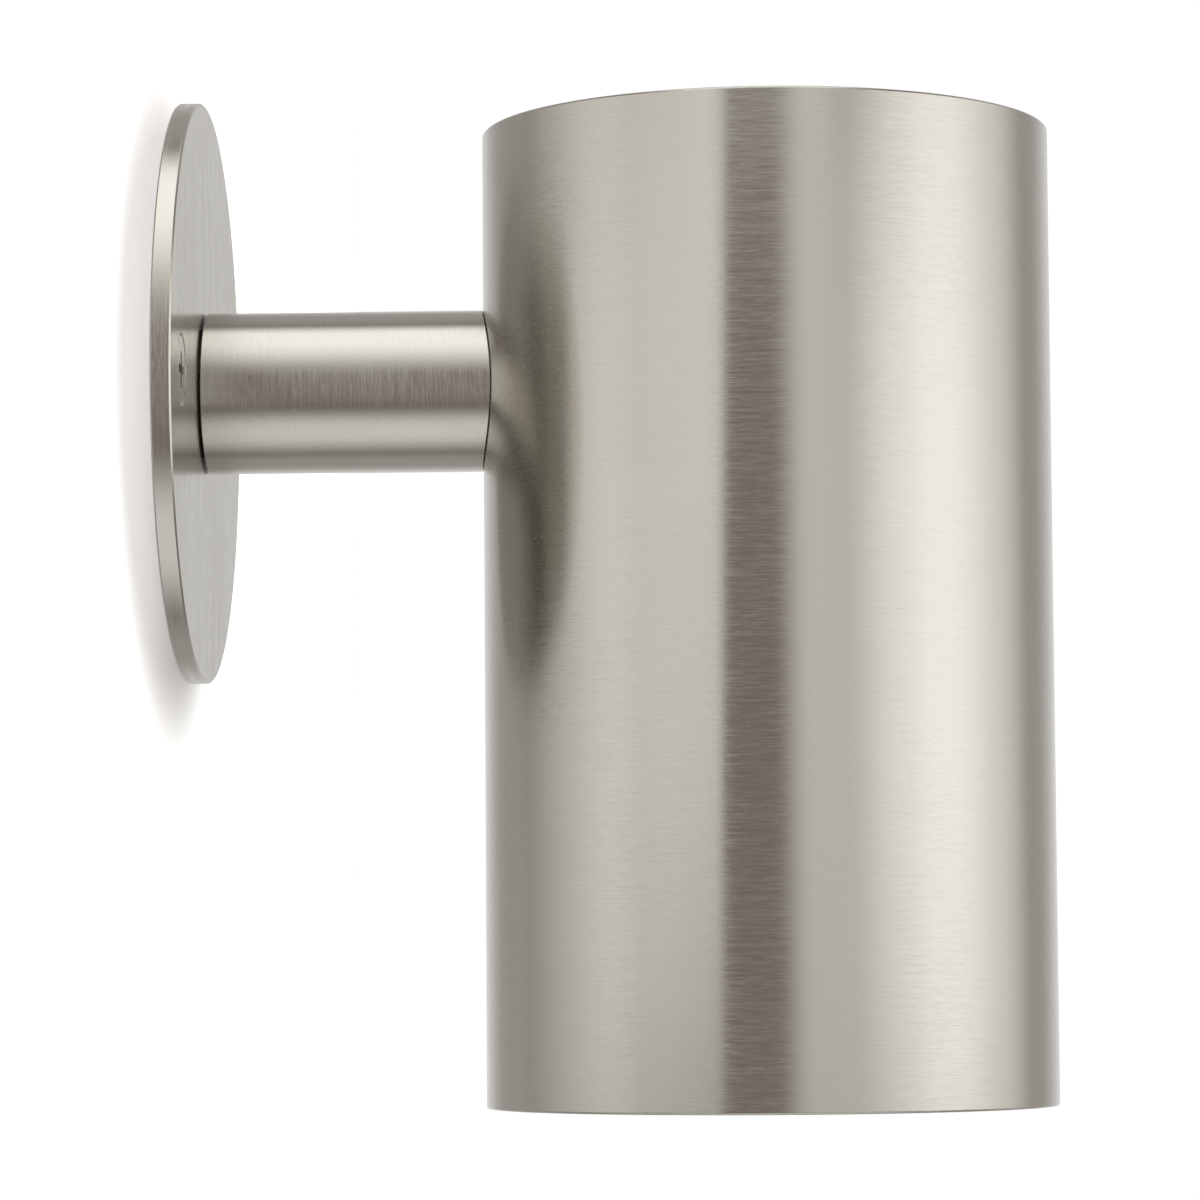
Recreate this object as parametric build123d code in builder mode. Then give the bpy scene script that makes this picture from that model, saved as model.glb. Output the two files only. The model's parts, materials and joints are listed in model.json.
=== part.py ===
from build123d import *
import os
from math import asin, cos, degrees, radians, sin

# Tube wall light: a round plate on the wall, a short arm, and a vertical tube
# that holds a twist-lock spot lamp shining down.
# The origin is the centre of the plate's back face, on the wall. +X runs out of
# the wall along the arm and +Z is up. Sizes are in millimetres and degrees.

# Wall plate
plate_diameter = 72.0
plate_thickness = 2.5
plate_edge_break = 0.2
plate_lead_hole = 6.4

# Fixing screws: M4 countersunk, on the two-inch centres of a round wall box
fixing_centres = 50.8
fixing_hole = 4.3
fixing_head = 8.2
fixing_head_rim = 0.2
fixing_head_sink = 0.05
fixing_neck = 3.6
fixing_thread = 4.0
fixing_length = 12.0
fixing_neck_past_plate = 0.4
fixing_recess_span = 4.4
fixing_recess_width = 1.0
fixing_recess_depth = 1.5

# Shared by the countersunk screws
recess_draft = 12.0
point_taper_per_thread = 0.125

# Spigot that the arm turns on, screwed to the plate from behind
spigot_length = 14.0
spigot_bore = 6.4
spigot_end_break = 0.6
groove_from_plate = 8.5
groove_width = 3.0
groove_depth = 2.3
stop_pin_diameter = 2.0
stop_pin_length = 3.5
stop_pin_below_rim = 0.25

# Spigot screws: M2.5 countersunk
spigot_screw_count = 3
spigot_screw_circle = 12.0
spigot_screw_thread = 2.5
spigot_screw_neck = 2.2
spigot_screw_head = 4.6
spigot_screw_head_rim = 0.15
spigot_screw_length = 6.0
spigot_screw_hole = 2.7
spigot_tapping_spare = 1.0
spigot_recess_span = 2.6
spigot_recess_width = 0.6
spigot_recess_depth = 0.9

# Arm
arm_diameter = 20.0
arm_wall = 2.0
arm_reach = 34.5
arm_plate_gap = 0.3
arm_edge_break = 0.15
cope_gap = 0.05

# Grub screw: M4 with a dog point that runs in the spigot's groove
grub_thread = 4.0
grub_length = 4.0
grub_dog_diameter = 2.5
grub_dog_length = 2.3
grub_sink = 0.2
grub_socket_width = 2.0
grub_socket_depth = 1.4

# Shade
shade_diameter = 70.0
shade_wall = 1.5
shade_height = 120.0
shade_above_arm = 31.5
shade_edge_break = 0.3
cap_thickness = 1.5
cap_skirt = 5.0
cap_edge_radius = 0.4

# Hollow threaded nipple and what it clamps
nipple_thread = 10.0
nipple_bore = 7.0
nipple_hole = 10.3
nipple_in_insert = 8.5
nipple_past_nut = 2.0
insert_length = 10.0
insert_setback = 0.6
insert_edge_break = 0.5
saddle_diameter = 18.0
saddle_thickness = 2.0
lock_washer_diameter = 16.0
lock_washer_thickness = 0.8
lock_washer_notches = 12
lock_washer_notch_depth = 1.4
nut_across_flats = 14.0
nut_thickness = 3.5
bush_flange_diameter = 10.0
bush_flange_thickness = 1.0
bush_bore = 5.6
bush_length = 5.0

# Lampholder bracket
bracket_width = 14.0
bracket_thickness = 1.5
bracket_foot = 8.5
bracket_rise = 11.0
bracket_bend = 1.5
bracket_past_screw = 4.0

# Ceramic twist-lock lampholder
holder_diameter = 28.0
holder_across_flats = 26.0
holder_body_height = 12.0
holder_cover_height = 3.0
holder_floor = 4.6
holder_edge_break = 0.6
holder_screw_centres = 19.0
holder_screw_hole = 3.2
holder_head_recess = 6.0
holder_head_recess_depth = 2.6
pocket_width = 6.6
lead_port_radius = 9.5
lead_port_diameter = 2.2
lead_port_pocket_width = 4.6
lead_port_pocket_margin = 1.8

# Holder screws and earth screw: M3 pan heads and nuts
m3_thread = 3.0
m3_head = 5.4
m3_head_height = 2.0
m3_head_edge_radius = 0.9
m3_nut_across_flats = 5.5
m3_nut_thickness = 2.4
m3_past_nut = 0.8
m3_slot_width = 0.8
m3_slot_depth = 0.9

# Contacts in the holder
contact_thickness = 0.5
contact_width = 4.0
contact_inner_radius = 2.6
contact_barrel_diameter = 3.2
contact_barrel_height = 4.4
contact_gap = 0.3

# Leads in their sleeve
lead_diameter = 1.8
lead_spread = 1.1
lead_spread_angle = 30.0
sleeve_bore = 4.2
sleeve_diameter = 5.0
sleeve_setback = 0.6
sleeve_past_bush = 1.0
lead_bend = 5.0
lead_first_bend = 4.8
lead_side_bend = 4.5
lead_rise_start = 5.5
lead_crossing = 8.5
lead_in_barrel = 3.4

# Earth tag under the bracket, midway between its bend and the lampholder
earth_tag_bend_clearance = 0.4
earth_tag_diameter = 6.6
earth_tag_thickness = 0.8
earth_tag_width = 3.4
earth_barrel_diameter = 3.0
earth_barrel_from_screw = 5.7
earth_barrel_height = 5.0
earth_lead_in_barrel = 4.0
earth_lead_bend = 3.5

# Twist-lock lamp
lamp_diameter = 50.0
lamp_length = 47.2
lamp_holder_gap = 0.3
lamp_twist = 30.0
pin_circle = 10.0
pin_neck = 3.2
pin_head = 5.0
pin_head_height = 1.8
pin_in_base = 3.0
pin_slot_clearance = 0.3
base_top_diameter = 25.0
base_shoulder_diameter = 29.0
base_shoulder_drop = 4.0
base_waist_diameter = 31.0
base_height = 16.0
base_edge_radius = 1.2
sink_core_diameter = 36.0
sink_rim_height = 3.0
fin_count = 20
fin_thickness = 1.2
fin_top_diameter = 33.0
sink_cup_wall = 2.0
bezel_width = 2.2
bezel_height = 3.6
bezel_edge_radius = 0.8
lens_thickness = 1.6
lens_recess = 0.8
board_thickness = 1.6
board_depth = 8.0
led_count = 6
led_circle = 22.0
led_width = 3.0
led_height = 0.7

# Clearances
turning_clearance = 0.05
seat_clearance = 0.02
thread_clearance = 0.02

# How far a cut is drawn past the face it opens
cut_past = 1.0

# Derived places along X, out of the wall
arm_start = plate_thickness + arm_plate_gap
shade_radius = shade_diameter / 2
shade_x = plate_thickness + arm_reach + shade_radius
shade_bore_radius = shade_radius - shade_wall
shade_inner_x = shade_x - shade_bore_radius
arm_bore_radius = arm_diameter / 2 - arm_wall
groove_x = plate_thickness + groove_from_plate
saddle_face_x = shade_inner_x + saddle_thickness
bracket_face_x = saddle_face_x + bracket_thickness
nut_seat_x = bracket_face_x + lock_washer_thickness
nut_face_x = nut_seat_x + nut_thickness
nipple_end_x = nut_face_x + nipple_past_nut
insert_end_x = shade_x - shade_radius - insert_setback
bush_end_x = nipple_end_x + bush_flange_thickness
sleeve_end_x = bush_end_x + sleeve_past_bush

# Derived heights
shade_top = shade_above_arm
shade_bottom = shade_top - shade_height
holder_top = bracket_rise
holder_body_top = holder_top - holder_cover_height
holder_bottom = holder_body_top - holder_body_height
holder_floor_top = holder_bottom + holder_floor
lamp_top = holder_bottom - lamp_holder_gap
lamp_bottom = lamp_top - lamp_length
pin_head_bottom = holder_floor_top + pin_slot_clearance
pin_head_top = pin_head_bottom + pin_head_height
contact_bottom = pin_head_top + contact_gap
bracket_top = bracket_rise + bracket_thickness

# Planes and axes that several pieces share
arm_profile = Plane.XZ
lamp_profile = Plane(origin=(shade_x, 0, 0), x_dir=(1, 0, 0), z_dir=(0, -1, 0))
lamp_axis = Axis((shade_x, 0, 0), (0, 0, 1))


def shade_level(height):
    """A level plane centred on the shade's axis."""
    return Plane(origin=(shade_x, 0, height), x_dir=(1, 0, 0), z_dir=(0, 0, 1))


def countersink_radius(head, rim, sink):
    """The mouth radius of a countersink that the head's cone seats in."""
    return head / 2 + rim + sink + seat_clearance


def countersunk_screw(head, rim, neck, neck_end, thread, length, span, width, depth):
    """A countersunk screw with its flat top at z = 0 and a cross recess."""
    cone_end = rim + (head - neck) / 2
    point_taper = thread * point_taper_per_thread
    with BuildPart() as screw:
        with BuildSketch(Plane.XZ):
            with BuildLine():
                Polyline(
                    (0, 0),
                    (head / 2, 0),
                    (head / 2, -rim),
                    (neck / 2, -cone_end),
                    (neck / 2, -neck_end),
                    (thread / 2, -neck_end),
                    (thread / 2, -length + point_taper),
                    (thread / 2 - point_taper, -length),
                    (0, -length),
                    close=True,
                )
            make_face()
        revolve(axis=Axis.Z)
        with BuildSketch():
            Rectangle(span, width)
            Rectangle(width, span)
        extrude(amount=-depth, taper=recess_draft, mode=Mode.SUBTRACT)
    return screw.part


def pan_screw(length):
    """An M3 pan-head screw with its seat at z = 0, head below and shank above."""
    with BuildPart() as screw:
        with BuildSketch():
            Circle(m3_thread / 2)
        extrude(amount=length)
        with BuildSketch():
            Circle(m3_head / 2)
        extrude(amount=-m3_head_height)
        fillet(screw.faces().sort_by(Axis.Z)[0].edges(), m3_head_edge_radius)
        with BuildSketch(Plane.XY.offset(-m3_head_height)):
            Rectangle(m3_head, m3_slot_width)
        extrude(amount=m3_slot_depth, mode=Mode.SUBTRACT)
    return screw.part


def hex_nut(across_flats, thickness, thread):
    """A hexagon nut with its seat at z = 0."""
    with BuildPart() as nut:
        with BuildSketch():
            RegularPolygon(across_flats / 2, 6, major_radius=False)
            Circle(thread / 2 + thread_clearance, mode=Mode.SUBTRACT)
        extrude(amount=thickness)
    return nut.part


def lead(points, radii):
    """A round lead along straight runs joined by tangent arcs."""
    with BuildPart() as wire:
        with BuildLine() as route:
            FilletPolyline(*points, radius=radii)
        with BuildSketch(Plane(origin=route.line @ 0, z_dir=route.line % 0)):
            Circle(lead_diameter / 2)
        sweep()
    return wire.part


# ---------------------------------------------------------------- wall plate

fixing_face = Plane.YZ.offset(plate_thickness)
plate_back = Plane(origin=(0, 0, 0), x_dir=(0, -1, 0), z_dir=(-1, 0, 0))
fixing_mouth = countersink_radius(fixing_head, fixing_head_rim, fixing_head_sink)
spigot_mouth = countersink_radius(spigot_screw_head, spigot_screw_head_rim, 0)

with BuildPart() as wall_plate:
    with BuildSketch(Plane.YZ):
        Circle(plate_diameter / 2)
        Circle(plate_lead_hole / 2, mode=Mode.SUBTRACT)
    extrude(amount=plate_thickness)
    front_rim = wall_plate.edges().filter_by(GeomType.CIRCLE).sort_by(SortBy.RADIUS)[-2:]
    chamfer(front_rim, plate_edge_break)
    with Locations(fixing_face):
        with GridLocations(fixing_centres, 0, 2, 1):
            CounterSinkHole(fixing_hole / 2, fixing_mouth, counter_sink_angle=90)
    with Locations(plate_back):
        with PolarLocations(spigot_screw_circle / 2, spigot_screw_count, start_angle=90):
            CounterSinkHole(spigot_screw_hole / 2, spigot_mouth, counter_sink_angle=90)
wall_plate.part.label = "wall_plate"

fixing_screw = countersunk_screw(
    fixing_head,
    fixing_head_rim,
    fixing_neck,
    plate_thickness - fixing_head_sink + fixing_neck_past_plate,
    fixing_thread,
    fixing_length,
    fixing_recess_span,
    fixing_recess_width,
    fixing_recess_depth,
)
with BuildPart() as wall_screws:
    with Locations(Plane.YZ.offset(plate_thickness - fixing_head_sink)):
        with GridLocations(fixing_centres, 0, 2, 1):
            add(fixing_screw)
wall_screws.part.label = "wall_screws"

# -------------------------------------------------------------------- spigot

spigot_radius = arm_bore_radius - turning_clearance
groove_radius = spigot_radius - groove_depth
spigot_end_x = plate_thickness + spigot_length
stop_pin_inner = spigot_radius - stop_pin_below_rim - stop_pin_length

with BuildPart() as arm_spigot:
    with BuildSketch(arm_profile):
        with BuildLine():
            Polyline(
                (plate_thickness, spigot_bore / 2),
                (plate_thickness, spigot_radius),
                (groove_x - groove_width / 2, spigot_radius),
                (groove_x - groove_width / 2, groove_radius),
                (groove_x + groove_width / 2, groove_radius),
                (groove_x + groove_width / 2, spigot_radius),
                (spigot_end_x - spigot_end_break, spigot_radius),
                (spigot_end_x, spigot_radius - spigot_end_break),
                (spigot_end_x, spigot_bore / 2),
                close=True,
            )
        make_face()
    revolve(axis=Axis.X)
    with Locations(plate_back.offset(-plate_thickness)):
        with PolarLocations(spigot_screw_circle / 2, spigot_screw_count, start_angle=90):
            Hole(
                spigot_screw_thread / 2 + thread_clearance,
                depth=spigot_screw_length - plate_thickness + spigot_tapping_spare,
            )
    with BuildSketch(Plane(origin=(groove_x, 0, -stop_pin_inner), z_dir=(0, 0, -1))):
        Circle(stop_pin_diameter / 2 + seat_clearance)
    extrude(amount=stop_pin_length, mode=Mode.SUBTRACT)
arm_spigot.part.label = "arm_spigot"

# The pin in the groove stops the grub screw's point before a full turn.
with BuildPart() as stop_pin:
    with BuildSketch(Plane(origin=(groove_x, 0, -stop_pin_inner), z_dir=(0, 0, -1))):
        Circle(stop_pin_diameter / 2)
    extrude(amount=stop_pin_length)
stop_pin.part.label = "stop_pin"

spigot_screw = countersunk_screw(
    spigot_screw_head,
    spigot_screw_head_rim,
    spigot_screw_neck,
    plate_thickness,
    spigot_screw_thread,
    spigot_screw_length,
    spigot_recess_span,
    spigot_recess_width,
    spigot_recess_depth,
)
with BuildPart() as spigot_screws:
    with Locations(plate_back):
        with PolarLocations(spigot_screw_circle / 2, spigot_screw_count, start_angle=90):
            add(spigot_screw)
spigot_screws.part.label = "spigot_screws"

# ----------------------------------------------------------------------- arm

with BuildPart() as arm_tube:
    with BuildSketch(Plane.YZ.offset(arm_start)):
        Circle(arm_diameter / 2)
        Circle(arm_bore_radius, mode=Mode.SUBTRACT)
    extrude(amount=shade_x - arm_start)
    with BuildSketch(Plane.XY.offset(-arm_diameter)):
        with Locations((shade_x, 0)):
            Circle(shade_radius + cope_gap)
    extrude(amount=2 * arm_diameter, mode=Mode.SUBTRACT)
    outer_face = arm_tube.faces().sort_by(SortBy.AREA)[-1]
    chamfer(outer_face.edges().filter_by(GeomType.LINE, reverse=True), arm_edge_break)
    with BuildSketch(Plane(origin=(groove_x, 0, arm_bore_radius - cut_past))):
        Circle(grub_thread / 2 + thread_clearance)
    extrude(amount=arm_wall + 2 * cut_past, mode=Mode.SUBTRACT)
arm_tube.part.label = "arm_tube"

grub_top = arm_diameter / 2 - grub_sink
with BuildPart() as grub_screw:
    with BuildSketch(Plane(origin=(groove_x, 0, grub_top), z_dir=(0, 0, -1))):
        Circle(grub_thread / 2)
    extrude(amount=grub_length - grub_dog_length)
    with BuildSketch(Plane(origin=(groove_x, 0, grub_top), z_dir=(0, 0, -1))):
        Circle(grub_dog_diameter / 2)
    extrude(amount=grub_length)
    with BuildSketch(Plane(origin=(groove_x, 0, grub_top), z_dir=(0, 0, -1))):
        RegularPolygon(grub_socket_width / 2, 6, major_radius=False)
    extrude(amount=grub_socket_depth, mode=Mode.SUBTRACT)
grub_screw.part.label = "grub_screw"

with BuildPart() as arm_insert:
    with BuildSketch(Plane.YZ.offset(insert_end_x)):
        Circle(arm_bore_radius - seat_clearance)
        Circle(nipple_thread / 2 + thread_clearance, mode=Mode.SUBTRACT)
    extrude(amount=-insert_length)
    insert_rims = arm_insert.edges().filter_by(GeomType.CIRCLE).sort_by(SortBy.RADIUS)[-2:]
    chamfer(insert_rims, insert_edge_break)
arm_insert.part.label = "arm_insert"

with BuildPart() as nipple:
    with BuildSketch(Plane.YZ.offset(insert_end_x - nipple_in_insert)):
        Circle(nipple_thread / 2)
        Circle(nipple_bore / 2, mode=Mode.SUBTRACT)
    extrude(amount=nipple_end_x - insert_end_x + nipple_in_insert)
nipple.part.label = "nipple"

# ------------------------------------------------------------ shade and cap

with BuildPart() as shade_tube:
    with BuildSketch(shade_level(shade_bottom)):
        Circle(shade_radius)
        Circle(shade_bore_radius, mode=Mode.SUBTRACT)
    extrude(amount=shade_height)
    outer_rims = shade_tube.edges().filter_by(GeomType.CIRCLE).sort_by(SortBy.RADIUS)[-2:]
    fillet(outer_rims, shade_edge_break)
    with BuildSketch(Plane.YZ.offset(shade_x - shade_radius - cut_past)):
        Circle(nipple_hole / 2)
    extrude(amount=shade_radius, mode=Mode.SUBTRACT)
shade_tube.part.label = "shade_tube"

cap_radius = shade_bore_radius - seat_clearance
with BuildPart() as top_cap:
    with BuildSketch(shade_level(shade_top)):
        Circle(cap_radius)
    extrude(amount=-cap_thickness - cap_skirt)
    fillet(top_cap.faces().sort_by(Axis.Z)[-1].edges(), cap_edge_radius)
    with BuildSketch(shade_level(shade_top - cap_thickness)):
        Circle(cap_radius - cap_thickness)
    extrude(amount=-cap_skirt, mode=Mode.SUBTRACT)
top_cap.part.label = "top_cap"

# ------------------------------------------- what the nipple clamps together

with BuildPart() as saddle_washer:
    with BuildSketch(Plane.YZ.offset(saddle_face_x)):
        Circle(saddle_diameter / 2)
    extrude(amount=-saddle_diameter / 2)
    with BuildSketch(shade_level(-saddle_diameter)):
        Circle(shade_bore_radius - seat_clearance)
    extrude(amount=2 * saddle_diameter, mode=Mode.INTERSECT)
    with BuildSketch(Plane.YZ.offset(saddle_face_x)):
        Circle(nipple_hole / 2)
    extrude(amount=-saddle_diameter / 2, mode=Mode.SUBTRACT)
saddle_washer.part.label = "saddle_washer"

holder_screw_x = [shade_x - holder_screw_centres / 2, shade_x + holder_screw_centres / 2]
bracket_end_x = holder_screw_x[1] + bracket_past_screw
earth_room_start = bracket_face_x + bracket_bend + earth_tag_bend_clearance
earth_room_end = shade_x - holder_diameter / 2
earth_tag_length = (earth_tag_diameter + earth_barrel_diameter) / 2 + earth_barrel_from_screw
earth_tag_start = (earth_room_start + earth_room_end - earth_tag_length) / 2
earth_screw_x = earth_tag_start + earth_tag_diameter / 2
with BuildPart() as lampholder_bracket:
    with BuildSketch(arm_profile):
        with BuildLine():
            FilletPolyline(
                (saddle_face_x, -bracket_foot),
                (saddle_face_x, bracket_top),
                (bracket_end_x, bracket_top),
                radius=bracket_bend + bracket_thickness,
            )
            FilletPolyline(
                (bracket_end_x, bracket_rise),
                (bracket_face_x, bracket_rise),
                (bracket_face_x, -bracket_foot),
                radius=bracket_bend,
            )
            Line((bracket_end_x, bracket_top), (bracket_end_x, bracket_rise))
            Line((bracket_face_x, -bracket_foot), (saddle_face_x, -bracket_foot))
        make_face()
    extrude(amount=bracket_width / 2, both=True)
    with BuildSketch(Plane.YZ.offset(saddle_face_x)):
        Circle(nipple_hole / 2)
    extrude(amount=bracket_thickness, mode=Mode.SUBTRACT)
    with BuildSketch(Plane.XY.offset(bracket_rise)):
        with Locations(*[(x, 0) for x in (earth_screw_x, *holder_screw_x)]):
            Circle(holder_screw_hole / 2)
    extrude(amount=bracket_thickness, mode=Mode.SUBTRACT)
lampholder_bracket.part.label = "lampholder_bracket"

with BuildPart() as lock_washer:
    with BuildSketch(Plane.YZ.offset(bracket_face_x)):
        Circle(lock_washer_diameter / 2)
        Circle(nipple_hole / 2, mode=Mode.SUBTRACT)
        with PolarLocations(lock_washer_diameter / 2, lock_washer_notches):
            Rectangle(2 * lock_washer_notch_depth, lock_washer_notch_depth, mode=Mode.SUBTRACT)
    extrude(amount=lock_washer_thickness)
lock_washer.part.label = "lock_washer"

with BuildPart() as nipple_nut:
    with Locations(Plane.YZ.offset(nut_seat_x)):
        add(hex_nut(nut_across_flats, nut_thickness, nipple_thread))
nipple_nut.part.label = "nipple_nut"

with BuildPart() as nipple_bush:
    with BuildSketch(Plane.YZ.offset(nipple_end_x)):
        Circle(bush_flange_diameter / 2)
    extrude(amount=bush_flange_thickness)
    with BuildSketch(Plane.YZ.offset(nipple_end_x)):
        Circle(nipple_bore / 2 - seat_clearance)
    extrude(amount=-bush_length)
    with BuildSketch(Plane.YZ.offset(bush_end_x)):
        Circle(bush_bore / 2)
    extrude(amount=-bush_length - bush_flange_thickness, mode=Mode.SUBTRACT)
nipple_bush.part.label = "nipple_bush"

# ---------------------------------------------------------------- lampholder

# The pins lock at the ends of the arcs that lie across the arm and come out at
# the round entries, a part turn clockwise seen from above.
pin_radius = pin_circle / 2
locked_angles = [90, 270]
pin_arcs = [
    CenterArc((0, 0), pin_radius, angle - lamp_twist, lamp_twist, mode=Mode.PRIVATE)
    for angle in locked_angles
]
slot_width = pin_neck + 2 * pin_slot_clearance
entry_radius = pin_head / 2 + pin_slot_clearance
port_pocket_end = lead_port_radius + lead_port_pocket_margin
port_pocket_length = port_pocket_end - pin_radius

with BuildPart() as lampholder_body:
    with BuildSketch(shade_level(holder_bottom)):
        Circle(holder_diameter / 2)
        Rectangle(holder_diameter, holder_across_flats, mode=Mode.INTERSECT)
    extrude(amount=holder_body_height)
    chamfer(lampholder_body.faces().sort_by(Axis.Z)[0].edges(), holder_edge_break)
    with BuildSketch(shade_level(holder_floor_top)):
        for arc in pin_arcs:
            SlotArc(arc, pocket_width)
        with PolarLocations(pin_radius + port_pocket_length / 2, 2, start_angle=90):
            Rectangle(port_pocket_length, lead_port_pocket_width)
    extrude(amount=holder_body_height - holder_floor, mode=Mode.SUBTRACT)
    with BuildSketch(shade_level(holder_bottom)):
        for arc in pin_arcs:
            SlotArc(arc, slot_width)
        with PolarLocations(pin_radius, 2, start_angle=90 - lamp_twist):
            Circle(entry_radius)
        with GridLocations(holder_screw_centres, 0, 2, 1):
            Circle(holder_screw_hole / 2)
    extrude(amount=holder_floor, mode=Mode.SUBTRACT)
    with BuildSketch(shade_level(holder_bottom)):
        with GridLocations(holder_screw_centres, 0, 2, 1):
            Circle(holder_screw_hole / 2)
    extrude(amount=holder_body_height, mode=Mode.SUBTRACT)
    with BuildSketch(shade_level(holder_bottom)):
        with GridLocations(holder_screw_centres, 0, 2, 1):
            Circle(holder_head_recess / 2)
    extrude(amount=holder_head_recess_depth, mode=Mode.SUBTRACT)
lampholder_body.part.label = "lampholder_body"

with BuildPart() as lampholder_cover:
    with BuildSketch(shade_level(holder_body_top)):
        Circle(holder_diameter / 2)
        Rectangle(holder_diameter, holder_across_flats, mode=Mode.INTERSECT)
        with GridLocations(holder_screw_centres, 2 * lead_port_radius, 2, 1):
            Circle(holder_screw_hole / 2, mode=Mode.SUBTRACT)
        with GridLocations(0, 2 * lead_port_radius, 1, 2):
            Circle(lead_port_diameter / 2, mode=Mode.SUBTRACT)
    extrude(amount=holder_cover_height)
lampholder_cover.part.label = "lampholder_cover"

holder_screw_seat = holder_bottom + holder_head_recess_depth
holder_screw_length = bracket_top + m3_nut_thickness + m3_past_nut - holder_screw_seat
with BuildPart() as lampholder_screws:
    with Locations(shade_level(holder_screw_seat)):
        with GridLocations(holder_screw_centres, 0, 2, 1):
            add(pan_screw(holder_screw_length))
lampholder_screws.part.label = "lampholder_screws"

with BuildPart() as lampholder_nuts:
    with Locations(shade_level(bracket_top)):
        with GridLocations(holder_screw_centres, 0, 2, 1):
            add(hex_nut(m3_nut_across_flats, m3_nut_thickness, m3_thread))
lampholder_nuts.part.label = "lampholder_nuts"

# Each contact is a brass strip over a pin's head, with a crimp barrel for its lead.
contact_strip = lead_port_radius - contact_inner_radius
with BuildPart() as lampholder_contacts:
    with BuildSketch(shade_level(contact_bottom)):
        with PolarLocations(contact_inner_radius + contact_strip / 2, 2, start_angle=90):
            Rectangle(contact_strip, contact_width)
    extrude(amount=contact_thickness)
    with BuildSketch(shade_level(contact_bottom)):
        with PolarLocations(lead_port_radius, 2, start_angle=90):
            Circle(contact_barrel_diameter / 2)
    extrude(amount=contact_barrel_height)
    with BuildSketch(shade_level(contact_bottom + contact_thickness)):
        with PolarLocations(lead_port_radius, 2, start_angle=90):
            Circle(lead_diameter / 2 + seat_clearance)
    extrude(amount=contact_barrel_height, mode=Mode.SUBTRACT)
lampholder_contacts.part.label = "lampholder_contacts"

# --------------------------------------------------------------------- leads

with BuildPart() as lead_sleeve:
    with BuildSketch(Plane.YZ.offset(sleeve_setback)):
        Circle(sleeve_diameter / 2)
        Circle(sleeve_bore / 2, mode=Mode.SUBTRACT)
    extrude(amount=sleeve_end_x - sleeve_setback)
lead_sleeve.part.label = "lead_sleeve"

# The live and neutral leads leave the sleeve, step apart to pass the bracket on
# either side, cross over the holder and drop into its ports.
lead_rise_x = sleeve_end_x + lead_bend
barrel_top = contact_bottom + contact_barrel_height
lead_end = barrel_top - lead_in_barrel
lead_level = lead_spread * sin(radians(lead_spread_angle))
lead_side = lead_spread * cos(radians(lead_spread_angle))
lead_crossing_level = holder_top + lead_crossing
lead_radii = [lead_first_bend, lead_side_bend, lead_bend, lead_bend]


def side_lead(side):
    """The lead on one side of the arm's axis: side is 1 or -1."""
    return lead(
        [
            (sleeve_setback, side * lead_side, lead_level),
            (lead_rise_x, side * lead_side, lead_level),
            (lead_rise_x, side * lead_port_radius, lead_rise_start),
            (lead_rise_x, side * lead_port_radius, lead_crossing_level),
            (shade_x, side * lead_port_radius, lead_crossing_level),
            (shade_x, side * lead_port_radius, lead_end),
        ],
        lead_radii,
    )


with BuildPart() as live_lead:
    add(side_lead(1))
live_lead.part.label = "live_lead"

with BuildPart() as neutral_lead:
    add(side_lead(-1))
neutral_lead.part.label = "neutral_lead"

earth_tag_top = bracket_rise
earth_tag_bottom = earth_tag_top - earth_tag_thickness
earth_barrel_x = earth_screw_x + earth_barrel_from_screw
earth_barrel_bottom = earth_tag_bottom - earth_barrel_height
earth_lead_end = earth_barrel_bottom + earth_lead_in_barrel
with BuildPart() as earth_lead:
    add(
        lead(
            [
                (sleeve_setback, 0, -lead_spread),
                (earth_barrel_x, 0, -lead_spread),
                (earth_barrel_x, 0, earth_lead_end),
            ],
            [earth_lead_bend],
        )
    )
earth_lead.part.label = "earth_lead"

with BuildPart() as earth_tag:
    with BuildSketch(Plane.XY.offset(earth_tag_bottom)):
        with Locations((earth_screw_x, 0)):
            Circle(earth_tag_diameter / 2)
        with Locations((earth_screw_x + earth_barrel_from_screw / 2, 0)):
            Rectangle(earth_barrel_from_screw, earth_tag_width)
        with Locations((earth_screw_x, 0)):
            Circle(holder_screw_hole / 2, mode=Mode.SUBTRACT)
    extrude(amount=earth_tag_thickness)
    with BuildSketch(Plane.XY.offset(earth_tag_top)):
        with Locations((earth_barrel_x, 0)):
            Circle(earth_barrel_diameter / 2)
    extrude(amount=-earth_tag_thickness - earth_barrel_height)
    with BuildSketch(Plane.XY.offset(earth_barrel_bottom)):
        with Locations((earth_barrel_x, 0)):
            Circle(lead_diameter / 2 + seat_clearance)
    extrude(amount=earth_barrel_height, mode=Mode.SUBTRACT)
earth_tag.part.label = "earth_tag"

earth_screw_length = earth_tag_thickness + bracket_thickness + m3_nut_thickness + m3_past_nut
with BuildPart() as earth_screw:
    with Locations(Location((earth_screw_x, 0, earth_tag_bottom))):
        add(pan_screw(earth_screw_length))
earth_screw.part.label = "earth_screw"

with BuildPart() as earth_nut:
    with Locations(Location((earth_screw_x, 0, bracket_top))):
        add(hex_nut(m3_nut_across_flats, m3_nut_thickness, m3_thread))
earth_nut.part.label = "earth_nut"

# ---------------------------------------------------------------------- lamp

lamp_radius = lamp_diameter / 2
base_bottom = lamp_top - base_height
sink_rim_top = lamp_bottom + bezel_height + sink_rim_height
sink_rim_bottom = lamp_bottom + bezel_height
board_top = sink_rim_bottom + board_depth
lens_bottom = lamp_bottom + lens_recess
cup_radius = lamp_radius - bezel_width

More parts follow.
